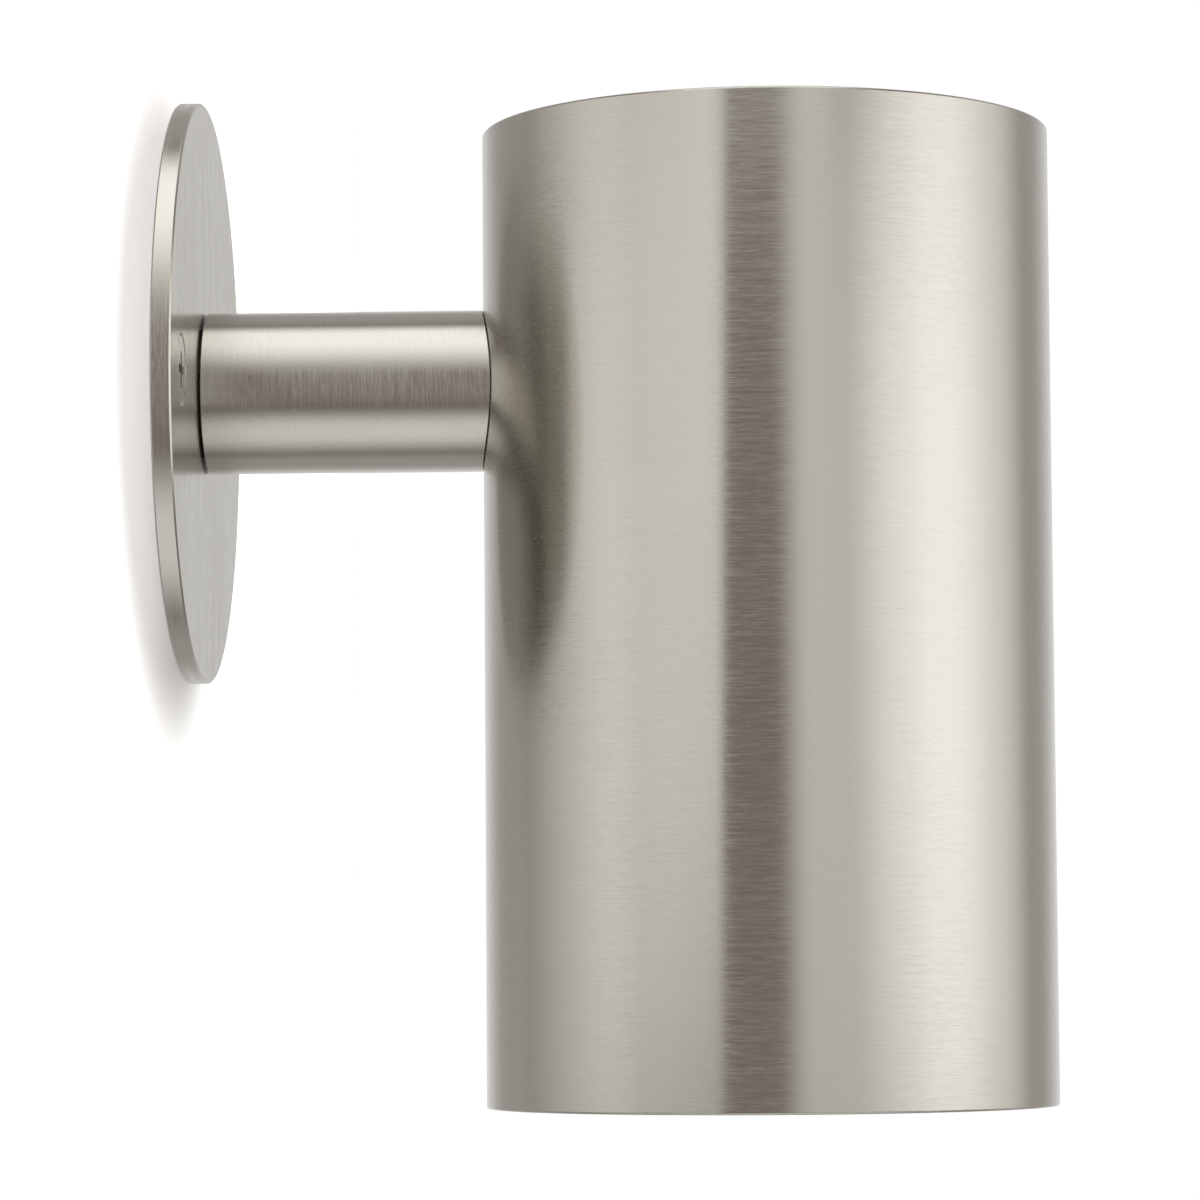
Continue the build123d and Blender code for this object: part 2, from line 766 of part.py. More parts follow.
with BuildPart() as lamp_pins:
    with BuildSketch(shade_level(lamp_top - pin_in_base)):
        with PolarLocations(pin_radius, 2, start_angle=90):
            Circle(pin_neck / 2)
    extrude(amount=pin_head_bottom - lamp_top + pin_in_base)
    with BuildSketch(shade_level(pin_head_bottom)):
        with PolarLocations(pin_radius, 2, start_angle=90):
            Circle(pin_head / 2)
    extrude(amount=pin_head_height)
lamp_pins.part.label = "lamp_pins"

with BuildPart() as lamp_base:
    with BuildSketch(lamp_profile):
        with BuildLine():
            Polyline(
                (0, lamp_top),
                (base_top_diameter / 2, lamp_top),
                (base_shoulder_diameter / 2, lamp_top - base_shoulder_drop),
                (base_waist_diameter / 2, base_bottom),
                (0, base_bottom),
                close=True,
            )
        make_face()
    revolve(axis=lamp_axis)
    base_corners = lamp_base.edges().filter_by(GeomType.CIRCLE).sort_by(Axis.Z)[-2:]
    fillet(base_corners, base_edge_radius)
    with BuildSketch(shade_level(lamp_top)):
        with PolarLocations(pin_radius, 2, start_angle=90):
            Circle(pin_neck / 2 + seat_clearance)
    extrude(amount=-pin_in_base, mode=Mode.SUBTRACT)
lamp_base.part.label = "lamp_base"

# The heat sink is a cup for the board, a solid core above it and radial fins.
with BuildPart() as cooling_fin:
    with BuildSketch(Plane.XZ):
        with BuildLine():
            Polyline(
                (0, base_bottom),
                (fin_top_diameter / 2, base_bottom),
                (lamp_radius, sink_rim_top),
                (0, sink_rim_top),
                close=True,
            )
        make_face()
    extrude(amount=fin_thickness / 2, both=True)

with BuildPart() as lamp_heatsink:
    with BuildSketch(lamp_profile):
        with BuildLine():
            Polyline(
                (0, base_bottom),
                (base_waist_diameter / 2 - fin_thickness, base_bottom),
                (sink_core_diameter / 2, sink_rim_top),
                (lamp_radius, sink_rim_top),
                (lamp_radius, sink_rim_bottom),
                (0, sink_rim_bottom),
                close=True,
            )
        make_face()
    revolve(axis=lamp_axis)
    with Locations(shade_level(0)):
        with PolarLocations(0, fin_count):
            add(cooling_fin.part)
    with BuildSketch(shade_level(sink_rim_bottom)):
        Circle(sink_core_diameter / 2 - sink_cup_wall)
    extrude(amount=board_depth, mode=Mode.SUBTRACT)
lamp_heatsink.part.label = "lamp_heatsink"

board_radius = sink_core_diameter / 2 - sink_cup_wall - seat_clearance
with BuildPart() as lamp_board:
    with BuildSketch(shade_level(board_top)):
        Circle(board_radius)
    extrude(amount=-board_thickness)
lamp_board.part.label = "lamp_board"

with BuildPart() as lamp_leds:
    with BuildSketch(shade_level(board_top - board_thickness)):
        Rectangle(led_width, led_width)
        with PolarLocations(led_circle / 2, led_count):
            Rectangle(led_width, led_width)
    extrude(amount=-led_height)
lamp_leds.part.label = "lamp_leds"

lens_radius = cup_radius - seat_clearance
with BuildPart() as lamp_lens:
    with BuildSketch(shade_level(lens_bottom)):
        Circle(lens_radius)
    extrude(amount=lens_thickness)
lamp_lens.part.label = "lamp_lens"

with BuildPart() as lamp_bezel:
    with BuildSketch(shade_level(lamp_bottom)):
        Circle(lamp_radius)
        Circle(cup_radius, mode=Mode.SUBTRACT)
    extrude(amount=bezel_height)
    fillet(lamp_bezel.faces().sort_by(Axis.Z)[0].edges().sort_by(SortBy.RADIUS)[-1],
           bezel_edge_radius)
lamp_bezel.part.label = "lamp_bezel"

# -------------------------------------------------------------------- export

# How far the arm turns before the grub screw's point meets the stop pin.
point_radius = grub_top - grub_length
stop_chord = (grub_dog_diameter + stop_pin_diameter) / 2
stop_angle = 180 - 2 * degrees(asin(stop_chord / 2 / point_radius))
print("arm turns", round(stop_angle, 1), "degrees each way")
print("earth screw from the wall", round(earth_screw_x, 3))
print("overall reach", round(shade_x + shade_radius, 2))

os.makedirs("parts", exist_ok=True)
sub_parts = [
    wall_plate,
    wall_screws,
    arm_spigot,
    stop_pin,
    spigot_screws,
    arm_tube,
    grub_screw,
    arm_insert,
    nipple,
    shade_tube,
    top_cap,
    saddle_washer,
    lampholder_bracket,
    lock_washer,
    nipple_nut,
    nipple_bush,
    lampholder_body,
    lampholder_cover,
    lampholder_screws,
    lampholder_nuts,
    lampholder_contacts,
    lead_sleeve,
    live_lead,
    neutral_lead,
    earth_lead,
    earth_tag,
    earth_screw,
    earth_nut,
    lamp_pins,
    lamp_base,
    lamp_heatsink,
    lamp_board,
    lamp_leds,
    lamp_lens,
    lamp_bezel,
]
for sub_part in sub_parts:
    export_step(sub_part.part, f"parts/{sub_part.part.label}.step")
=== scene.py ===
# %% [markdown]
# # A brushed steel tube wall light
# A round plate sits flat on the wall, a short arm comes out of it, and an upright tube on the arm
# hides a spot lamp that shines down. Nothing is printed or painted: the whole look is one metal,
# rubbed with fine abrasive, and what it mirrors. So this lesson is mostly about three things:
# clean round shapes, a brushed finish, and a quiet studio for the metal to reflect.
#
# The first step loads the light's working parts, which stay where they are, and notes their box.

# %% Load the frame
import json
import math

import bpy
from mathutils import Matrix, Vector


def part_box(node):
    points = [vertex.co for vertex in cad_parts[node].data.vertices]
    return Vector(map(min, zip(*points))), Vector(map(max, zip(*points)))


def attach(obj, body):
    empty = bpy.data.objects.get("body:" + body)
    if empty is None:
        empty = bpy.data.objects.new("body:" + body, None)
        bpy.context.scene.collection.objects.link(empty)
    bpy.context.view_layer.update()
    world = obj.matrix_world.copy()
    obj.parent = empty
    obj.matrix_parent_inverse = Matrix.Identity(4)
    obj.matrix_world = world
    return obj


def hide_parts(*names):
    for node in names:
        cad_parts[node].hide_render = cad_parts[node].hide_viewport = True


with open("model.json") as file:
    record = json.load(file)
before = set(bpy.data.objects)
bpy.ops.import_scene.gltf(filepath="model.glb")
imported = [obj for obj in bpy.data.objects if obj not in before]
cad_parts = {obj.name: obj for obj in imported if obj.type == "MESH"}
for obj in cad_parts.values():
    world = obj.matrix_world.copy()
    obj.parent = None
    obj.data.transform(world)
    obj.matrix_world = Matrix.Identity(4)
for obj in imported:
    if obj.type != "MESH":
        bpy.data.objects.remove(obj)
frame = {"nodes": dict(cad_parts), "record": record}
bpy.context.view_layer.update()
nodes = frame["nodes"]

# %% [markdown]
# The tube's axis is upright and lies in the middle of its box, and the arm lies along X at
# height zero.

# %% Sizes read from the parts
MM = 0.001


def middle(part, axis):
    low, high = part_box(part)
    return (low[axis] + high[axis]) / 2


def reach(part, axis):
    low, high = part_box(part)
    return high[axis] - low[axis]


shade_low, shade_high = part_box("shade_tube")
shade_axis_x = middle("shade_tube", 0)
shade_radius = reach("shade_tube", 0) / 2
arm_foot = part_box("arm_tube")[0].x
arm_radius = reach("arm_tube", 2) / 2
plate_radius = reach("wall_plate", 2) / 2
print("shade", round(2 * shade_radius / MM, 2), "arm", round(2 * arm_radius / MM, 2),
      "plate", round(2 * plate_radius / MM, 2), "mm across")

# %% [markdown]
# Nodes in Blender are usually dragged and wired by hand. In a script that gets long, so this small
# class holds one output socket and lets ordinary Python sums add Math nodes behind it. Any other
# node comes from one method, node(), which sets the node up, fills or wires its inputs, and gives
# back the output that is asked for. It serves materials and Geometry Nodes alike.

# %% A socket that does sums


class Wire:
    """An output socket of a node tree. Sums on it add Math nodes to the tree."""

    def __init__(self, tree, socket):
        self.tree = tree
        self.socket = socket

    def node(self, kind, settings=None, inputs=None, output=0):
        """Adds a node and gives back one of its outputs. A list joins several wires to one input."""
        made = self.tree.nodes.new(kind)
        for name, value in (settings or {}).items():
            setattr(made, name, value)
        for name, value in (inputs or {}).items():
            for one in value if isinstance(value, list) else [value]:
                if isinstance(one, Wire):
                    self.tree.links.new(one.socket, made.inputs[name])
                else:
                    made.inputs[name].default_value = one
        return Wire(self.tree, made.outputs[output] if made.outputs else None)

    def sum(self, operation, *values):
        return self.node("ShaderNodeMath", {"operation": operation}, dict(enumerate(values)))

    def __add__(self, other):
        return self.sum("ADD", self, other)

    def __sub__(self, other):
        return self.sum("SUBTRACT", self, other)

    def __mul__(self, other):
        return self.sum("MULTIPLY", self, other)

    def __truediv__(self, other):
        return self.sum("DIVIDE", self, other)

    def __pow__(self, other):
        return self.sum("POWER", self, other)

    def __rsub__(self, other):
        return self.sum("SUBTRACT", other, self)

    __radd__ = __add__
    __rmul__ = __mul__


# %% [markdown]
# A few nodes come back so often that each gets a short function: vector sums, a vector taken apart
# or put together, and a smooth step between two values.

# %% Short names for common nodes


def start_tree(tree):
    """An empty tree, as a Wire with no socket, ready to make nodes."""
    tree.nodes.clear()
    return Wire(tree, None)


def vector_sum(operation, *values):
    """Vector Math, with a Wire as its first value. LENGTH and DISTANCE give a number."""
    output = "Value" if operation in ("LENGTH", "DISTANCE") else "Vector"
    return values[0].node("ShaderNodeVectorMath", {"operation": operation}, dict(enumerate(values)), output)


def split(vector, letters="XYZ"):
    """The coordinates of a vector, as numbers."""
    return [vector.node("ShaderNodeSeparateXYZ", inputs={"Vector": vector}, output=one) for one in letters]


def combine(tree, **numbers):
    """A vector of the numbers given as X, Y and Z. What isn't given is zero."""
    return tree.node("ShaderNodeCombineXYZ", inputs=numbers)


def step_up(value, low, high):
    """Rises smoothly from 0 at low to 1 at high. It falls where low is above high."""
    if low > high:
        return 1 - step_up(value, high, low)
    inputs = {"Value": value, "From Min": low, "From Max": high}
    return value.node("ShaderNodeMapRange", {"interpolation_type": "SMOOTHSTEP"}, inputs)


# %% [markdown]
# ## The camera
# The picture was taken with a long lens from a little below the arm, almost along the wall, so both
# rims of the tube stay nearly straight and the round plate shows as a thin oval. The camera is
# placed by where it stands and the way it looks, with the lens in pixels of a 1200 pixel frame.

# %% Camera
FRAME_PIXELS = 1200
FOCAL_PIXELS = 4859.7
SENSOR_WIDTH = 36
CAMERA_PLACE = Vector((74.3, -598.3, -71.2)) * MM
CAMERA_YAW = 0.03856
CAMERA_PITCH = 0.07515
CAMERA_ROLL = -0.00672


def add_camera():
    data = bpy.data.cameras.new("camera")
    data.sensor_width = SENSOR_WIDTH
    data.lens = FOCAL_PIXELS / FRAME_PIXELS * SENSOR_WIDTH
    camera = bpy.data.objects.new("camera", data)
    bpy.context.scene.collection.objects.link(camera)
    look = Vector((
        -math.sin(CAMERA_YAW) * math.cos(CAMERA_PITCH),
        math.cos(CAMERA_YAW) * math.cos(CAMERA_PITCH),
        math.sin(CAMERA_PITCH),
    ))
    right = Vector((math.cos(CAMERA_YAW), math.sin(CAMERA_YAW), 0))
    above = right.cross(look)
    tilted = math.cos(CAMERA_ROLL) * right + math.sin(CAMERA_ROLL) * above
    columns = Matrix((tilted, tilted.cross(look), -look)).transposed()
    camera.matrix_world = Matrix.Translation(CAMERA_PLACE) @ columns.to_4x4()
    bpy.context.scene.camera = camera
    return camera


camera = add_camera()
bpy.context.scene.view_settings.view_transform = "Standard"
print("camera", [round(c, 3) for c in camera.location], "lens", round(camera.data.lens, 1), "mm")

# %% [markdown]
# ## The studio
# Polished and brushed metal has hardly any colour of its own. What it shows is the room. Here the
# tube shows, from left to right: a white card, ending in a hard edge; a narrow warm dark gap
# beside the camera; and a big soft light on the right that is brightest in its middle. The arm,
# lying down, shows another slice of the room: a light overhead, a dark gap and a pale floor.
#
# A softbox is an area light whose glow fades to its edges. The fade is made in the light's own
# nodes from Parametric, which runs from 0 to 1 across the lamp.

# %% Softboxes
STUDIO_CENTRE = Vector((0.05, 0, -0.02))


def aim(place, target):
    """Turns an object at place so that its -Z axis points to target."""
    look = (Vector(target) - Vector(place)).normalized()
    return Matrix.Translation(place) @ look.to_track_quat("-Z", "Y").to_matrix().to_4x4()


def softbox(name, azimuth, elevation, distance, width, height, radiance, fades):
    """A soft rectangular light. Azimuth 0 is the camera's side and 90 is out from the wall.
    The fades are shares of the lamp at its left, right, low and high side."""
    data = bpy.data.lights.new(name, "AREA")
    data.shape = "RECTANGLE"
    data.size = width
    data.size_y = height
    data.energy = radiance * width * height * math.pi
    data.use_nodes = True
    tree = start_tree(data.node_tree)
    across, up = split(tree.node("ShaderNodeNewGeometry", output="Parametric"), "XY")
    left, right, low, high = fades
    shape = step_up(across, 0, left) * step_up(across, 1, 1 - right)
    shape = shape * step_up(up, 0, low) * step_up(up, 1, 1 - high)
    glow = shape.node("ShaderNodeEmission", inputs={"Strength": shape})
    shape.node("ShaderNodeOutputLight", inputs={"Surface": glow})
    light = bpy.data.objects.new(name, data)
    bpy.context.scene.collection.objects.link(light)
    a, e = math.radians(azimuth), math.radians(elevation)
    way = Vector((math.sin(a) * math.cos(e), -math.cos(a) * math.cos(e), math.sin(e)))
    light.matrix_world = aim(way * distance + STUDIO_CENTRE, STUDIO_CENTRE)
    light.visible_camera = False
    return light


# %% [markdown]
# Four lights are for the metal to mirror: two on the right that make one broad glow, one overhead,
# and the card on the left, which does nothing but show in the metal. The last two are the other way
# round: they light the wall and the underside, and no metal mirrors them.

# %% Place the softboxes
softbox("right", azimuth=80, elevation=5, distance=1.3, width=2.89, height=1.8, radiance=1.36,
        fades=(0.42, 0.55, 0.3, 0.3))
softbox("front_right", azimuth=32.5, elevation=2, distance=1.6, width=1.81, height=2.2, radiance=0.61,
        fades=(0.255, 0.5, 0.3, 0.3))
softbox("overhead", azimuth=0, elevation=62, distance=1.3, width=1.6, height=2.51, radiance=1.42,
        fades=(0.2, 0.2, 0.6, 0.27))
left_card = softbox("left_card", azimuth=-66, elevation=10, distance=1.5, width=3.45, height=2.2,
                    radiance=0.80, fades=(0.72, 0.01, 0.3, 0.3))
left_card.visible_diffuse = False
wash = softbox("wall_wash", azimuth=92, elevation=30, distance=1.3, width=0.7, height=0.7, radiance=3.0,
               fades=(0.2, 0.2, 0.2, 0.2))
wash.visible_glossy = False
below = softbox("below", azimuth=20, elevation=-62, distance=1.3, width=1.2, height=1.2, radiance=0.7,
                fades=(0.2, 0.2, 0.2, 0.2))
below.visible_glossy = False
print("softboxes", [light.name for light in bpy.data.lights])

# %% [markdown]
# The world fills in the rest. The camera sees plain white. A mirrored ray sees a room: warm and
# dim in front, where the camera stands, white behind the light, and a pale floor in front of and
# below it. In a world tree, Generated is the direction of the ray, so each part of the room begins
# at one value of a coordinate, from -1 to 1, and is full at another.

# %% World
ROOM_COLOUR = (0.247, 0.217, 0.192, 1)
WHITE = (1, 1, 1, 1)
PALE_BACK, PALE_BACK_SHARE = (0.1, 0.5), 0.3
WHITE_BACK, WHITE_BACK_SHARE = (0.72, 1.02), 0.46
WALL_SIDE, WALL_SIDE_SHARE = (-0.75, -0.95), 0.3
FLOOR_BELOW, FLOOR_IN_FRONT, FLOOR_SHARE = (-0.42, -0.86), (0.38, -0.35), 0.95


def studio_world():
    world = bpy.data.worlds.new("studio")
    bpy.context.scene.world = world
    world.use_nodes = True
    tree = start_tree(world.node_tree)
    camera_ray = tree.node("ShaderNodeLightPath", output="Is Camera Ray")
    mirror_ray = tree.node("ShaderNodeLightPath", output="Is Glossy Ray") + tree.node(
        "ShaderNodeLightPath", output="Is Transmission Ray")
    out, back, up = split(tree.node("ShaderNodeTexCoord", output="Generated"))
    backdrop = step_up(back, *PALE_BACK) * PALE_BACK_SHARE + step_up(back, *WHITE_BACK) * WHITE_BACK_SHARE
    wall_side = step_up(out, *WALL_SIDE) * WALL_SIDE_SHARE
    floor_part = step_up(up, *FLOOR_BELOW) * step_up(back, *FLOOR_IN_FRONT) * FLOOR_SHARE
    room = backdrop.sum("MAXIMUM", backdrop, floor_part)
    room = room.sum("MAXIMUM", room, wall_side)
    seen = room.sum("MAXIMUM", camera_ray, room * mirror_ray)
    dim = tree.node("ShaderNodeBackground", inputs={"Color": ROOM_COLOUR, "Strength": 1.0})
    white = tree.node("ShaderNodeBackground", inputs={"Color": WHITE, "Strength": 1.0})
    both = tree.node("ShaderNodeMixShader", inputs={0: seen, 1: dim, 2: white})
    tree.node("ShaderNodeOutputWorld", inputs={"Surface": both})
    return world


world = studio_world()
print("world", world.name, "with", len(world.node_tree.nodes), "nodes")

# %% [markdown]
# The wall is a paper board, and the floor is a pale sheet well below. Both are stage: they are in
# the picture but not part of the light. They let rays through from behind, so the plate's back and
# the underside can be looked at too. The metal doesn't mirror the board, because a board this close
# would fill the arm and the plate's rim with white where the photograph shows the dark gap and the
# light overhead. The white at the world's wall side and the card on the left stand for it. Extra
# glow for camera rays turns the board white, except in an oval round the plate, where the glow is
# turned low. That oval is a painted shadow: it shows grey round the plate, on top of the paper's
# own soft shadow.

# %% Paper
PAPER = (0.9, 0.9, 0.9, 1)
# The oval where the camera glow is turned down: a painted shadow round the plate.
PAINTED_SHADOW_CENTRE = (0, -20 * MM, -3.7 * MM)
PAINTED_SHADOW_SIZE = (1.0, 75 * MM, 61 * MM)
PAINTED_SHADOW_FADE = (0.5, 0.78)


def new_material(name):
    """A material with an empty tree."""
    material = bpy.data.materials.new(name)
    material.use_nodes = True
    return material, start_tree(material.node_tree)


def object_place(tree):
    """Object coordinates, which are metres in the part's own frame and don't move with the camera."""
    return tree.node("ShaderNodeTexCoord", output="Object")


def paper(name, lift, painted_shadow_lift):
    """White paper seen from its front, with a lift of plain glow for the camera, dropped to a lower lift in
    an oval round the plate as a painted shadow.
    """
    material, tree = new_material(name)
    camera_ray = tree.node("ShaderNodeLightPath", output="Is Camera Ray")
    behind = tree.node("ShaderNodeNewGeometry", output="Backfacing")
    aside = vector_sum("SUBTRACT", object_place(tree), PAINTED_SHADOW_CENTRE)
    away = vector_sum("LENGTH", vector_sum("DIVIDE", aside, PAINTED_SHADOW_SIZE))
    # Painted shadow: in the oval round the plate the camera glow falls to the lower lift, so the paper shows
    # grey there.
    strength = step_up(away, *PAINTED_SHADOW_FADE) * (lift - painted_shadow_lift) + painted_shadow_lift
    lit = tree.node("ShaderNodeBsdfDiffuse", inputs={"Color": PAPER})
    glow = tree.node("ShaderNodeEmission", inputs={"Color": WHITE, "Strength": camera_ray * strength})
    white = tree.node("ShaderNodeAddShader", inputs={0: lit, 1: glow})
    clear = tree.node("ShaderNodeBsdfTransparent")
    either = tree.node("ShaderNodeMixShader", inputs={0: behind, 1: white, 2: clear})
    tree.node("ShaderNodeOutputMaterial", inputs={"Surface": either})
    return material


# %% Wall board and floor
WALL_GAP = 0.02 * MM
BOARD_HALF_WIDTH = 235 * MM
BOARD_TOP = 400 * MM
FLOOR_DROP = 260 * MM
FLOOR_BACK, FLOOR_FRONT, FLOOR_HALF_WIDTH = -0.2, 1.0, 0.6


def sheet(name, corners, material):
    """A flat sheet of stage that metal doesn't mirror."""
    mesh = bpy.data.meshes.new(name)
    mesh.from_pydata(corners, [], [(0, 1, 2, 3)])
    mesh.materials.append(material)
    thing = bpy.data.objects.new(name, mesh)
    bpy.context.scene.collection.objects.link(thing)
    thing.visible_glossy = False
    return thing


# On the wall the camera glow drops from 0.8 to 0.06 in the oval round the plate, a painted shadow. The floor
# keeps one even glow.
wall = sheet("wall_board", [
    (WALL_GAP, -BOARD_HALF_WIDTH, -FLOOR_DROP), (WALL_GAP, BOARD_HALF_WIDTH, -FLOOR_DROP),
    (WALL_GAP, BOARD_HALF_WIDTH, BOARD_TOP), (WALL_GAP, -BOARD_HALF_WIDTH, BOARD_TOP),
], paper("wall_paper", lift=0.8, painted_shadow_lift=0.06))
wall.visible_shadow = False
sheet("floor", [
    (FLOOR_BACK, -FLOOR_HALF_WIDTH, -FLOOR_DROP), (FLOOR_FRONT, -FLOOR_HALF_WIDTH, -FLOOR_DROP),
    (FLOOR_FRONT, FLOOR_HALF_WIDTH, -FLOOR_DROP), (FLOOR_BACK, FLOOR_HALF_WIDTH, -FLOOR_DROP),
], paper("floor_paper", lift=0.6, painted_shadow_lift=0.6))
print("wall board", round(2 * BOARD_HALF_WIDTH, 2), "m wide, floor", round(FLOOR_DROP, 2), "m below the arm")

# %% [markdown]
# ## Finishes from noise
# Nearly every finish here is made the same way: a noise on Object coordinates says where the
# surface is a little lighter or darker, rougher or smoother, higher or lower. So a few more nodes
# get a short function: the noise, the colour between two colours, the bump and the shader.

# %% Noise, colour, bump and shader


def noise(place, scale, detail, roughness=0.5):
    return place.node("ShaderNodeTexNoise", inputs={
        "Vector": place, "Scale": scale, "Detail": detail, "Roughness": roughness})


def tinted(colour, share):
    """A colour made lighter or darker, with the fourth number that Blender wants."""
    return tuple(c * share for c in colour) + (1,)


def between(factor, first, second):
    """The first colour where the factor is 0 and the second where it is 1. Mix keeps its sockets
    for numbers and vectors too, so the ones for colours are inputs 6 and 7 and output 2."""
    return factor.node("ShaderNodeMix", {"data_type": "RGBA"}, {"Factor": factor, 6: first, 7: second}, 2)


def bumps(height, strength, depth):
    """A tilt of the surface, as if it were this high and so many metres deep."""
    return height.node("ShaderNodeBump", inputs={"Strength": strength, "Distance": depth, "Height": height})


def surface(tree, inputs):
    """The Principled shader with these inputs, as what the tree gives."""
    shader = tree.node("ShaderNodeBsdfPrincipled", inputs=inputs)
    tree.node("ShaderNodeOutputMaterial", inputs={"Surface": shader})


# %% [markdown]
# ## Brushed steel
# The tube and the arm were rubbed while they turned, so their scratches run round them. Such metal
# mirrors sharply along a scratch and smears across it. Anisotropic does the smearing, and a noise
# that is squeezed thin across the scratches and drawn long along them does what the eye can follow:
# it shades the metal a little, changes how rough it is and tilts the surface.
#
# A noise knows only X, Y and Z. For scratches that follow a circle, the place is first rewritten:
# as a distance from the axis and a direction, for a face that was spun, or with the distance in
# place of Y, for a rim that the grain runs along.

# %% Places rewritten for round grain
RIM_START, RIM_FULL = 0.985, 0.995


def by_distance(place):
    """Turns a place into its distance from the Z axis and its direction."""
    flat = vector_sum("MULTIPLY", place, (1, 1, 0))
    x, y = split(vector_sum("NORMALIZE", flat), "XY")
    return combine(place, X=vector_sum("LENGTH", flat), Y=x, Z=y)


def along_rim(place, rim):
    """Near this distance from the X axis, swaps Y for the distance, so that the grain follows the rim."""
    x, y, z = split(place)
    away = (y * y + z * z) ** 0.5
    on_rim = step_up(away, rim * RIM_START, rim * RIM_FULL)
    return combine(place, X=x, Y=y + (away - y) * on_rim, Z=z)


# %% Brushed metal
FINE_SHARE, LONG_SHARE = 0.55, 0.45
MARKS_FROM, MARKS_TO = 0.34, 0.66
MARK_SWING = 0.14
CLOUD_SCALE = 55.0
CLOUD_SWING = 0.05
SCRATCH_DEPTH = 0.05 * MM


def brushed(name, tint, grain, long_grain, centre, roughness, anisotropy=0.0, turn=0.0, contrast=0.03,
            spun=False, rim=None):
    """Metal rubbed one way. The grain is how often the scratches change along X, Y and Z, per metre.
    On spun metal the first is counted outwards from the centre and the others go round it. Metal
    with a rim radius has its grain turned along that rim."""
    material, tree = new_material(name)
    place = vector_sum("SUBTRACT", object_place(tree), centre)
    if spun:
        place = by_distance(place)
    if rim:
        place = along_rim(place, rim)
    scratches = noise(vector_sum("MULTIPLY", place, grain), scale=1.0, detail=3.0, roughness=0.6)
    strokes = noise(vector_sum("MULTIPLY", place, long_grain), scale=1.0, detail=3.0, roughness=0.7)
    cloud = noise(place, CLOUD_SCALE, detail=2.0)
    lines = scratches * FINE_SHARE + strokes * LONG_SHARE
    marks = step_up(lines, MARKS_FROM, MARKS_TO)
    surface(tree, {
        "Base Color": between(marks, tinted(tint, 1 - contrast), tinted(tint, 1 + contrast)),
        "Metallic": 1.0,
        "Roughness": (marks - 0.5) * MARK_SWING + cloud * CLOUD_SWING + (roughness - CLOUD_SWING / 2),
        "Normal": bumps(lines, strength=0.10, depth=SCRATCH_DEPTH),
        "Anisotropic": anisotropy,
        "Anisotropic Rotation": turn,
    })
    return material


# %% Steel for the shade, the arm and the plate
STEEL_TINT = (0.56, 0.544, 0.502)
shade_middle = (shade_axis_x, 0, 0)
shade_steel = brushed("shade_steel", STEEL_TINT, grain=(500, 500, 11000), long_grain=(150, 150, 6500),
                      centre=shade_middle, roughness=0.22, anisotropy=0.9, turn=0.25)
arm_steel = brushed("arm_steel", STEEL_TINT, grain=(11000, 500, 500), long_grain=(6500, 150, 150),
                    centre=(0, 0, 0), roughness=0.22, anisotropy=0.8)
plate_steel = brushed("plate_steel", STEEL_TINT, grain=(9000, 7000, 350), long_grain=(5000, 2500, 60),
                      centre=(0, 0, 0), roughness=0.23, anisotropy=0.6, rim=plate_radius)
print("steel", STEEL_TINT, "with nodes", len(shade_steel.node_tree.nodes), "on the shade")

# %% [markdown]
# ## Geometry Nodes from Python
# A Geometry Nodes tree is built with the same Wire class. Each tree has its sizes as named inputs,
# and the result is kept as a plain mesh, so the rest of the script needn't know how it was made.
# The modifier wants each input's identifier, which isn't its name, so grow() looks it up.

# %% Start, finish and run a tree
SOCKETS = {float: "NodeSocketFloat", int: "NodeSocketInt", bpy.types.Material: "NodeSocketMaterial"}
SHARP_ANGLE = math.radians(32)


def new_tree(name, sizes):
    """A Geometry Nodes tree with a named input for each size."""
    group = bpy.data.node_groups.new(name, "GeometryNodeTree")
    group.interface.new_socket("Geometry", in_out="OUTPUT", socket_type="NodeSocketGeometry")
    for label, value in sizes.items():
        group.interface.new_socket(label, in_out="INPUT", socket_type=SOCKETS[type(value)])
    return Wire(group, None)


def given(tree, label):
    return tree.node("NodeGroupInput", output=label)


def compare(value, operation, limit):
    """Yes or no at each point or edge: is the value LESS_THAN or GREATER_THAN the limit?"""
    settings = {"data_type": "FLOAT", "operation": operation}
    return value.node("FunctionNodeCompare", settings, {0: value, 1: limit})


def finish_tree(tree, geometry):
    """Smooths gentle edges, keeps sharp ones, and ends in Realize Instances and Set Material."""
    whole = tree.node("GeometryNodeRealizeInstances", inputs={"Geometry": geometry})
    bend = tree.node("GeometryNodeInputMeshEdgeAngle", output="Unsigned Angle")
    smooth = tree.node("GeometryNodeSetShadeSmooth", {"domain": "FACE"}, {
        "Geometry": whole, "Shade Smooth": True})
    crisp = tree.node("GeometryNodeSetShadeSmooth", {"domain": "EDGE"}, {
        "Geometry": smooth, "Selection": compare(bend, "GREATER_THAN", SHARP_ANGLE), "Shade Smooth": False})
    dressed = tree.node("GeometryNodeSetMaterial", inputs={
        "Geometry": crisp, "Material": given(tree, "Material")})
    tree.node("NodeGroupOutput", inputs={"Geometry": dressed})


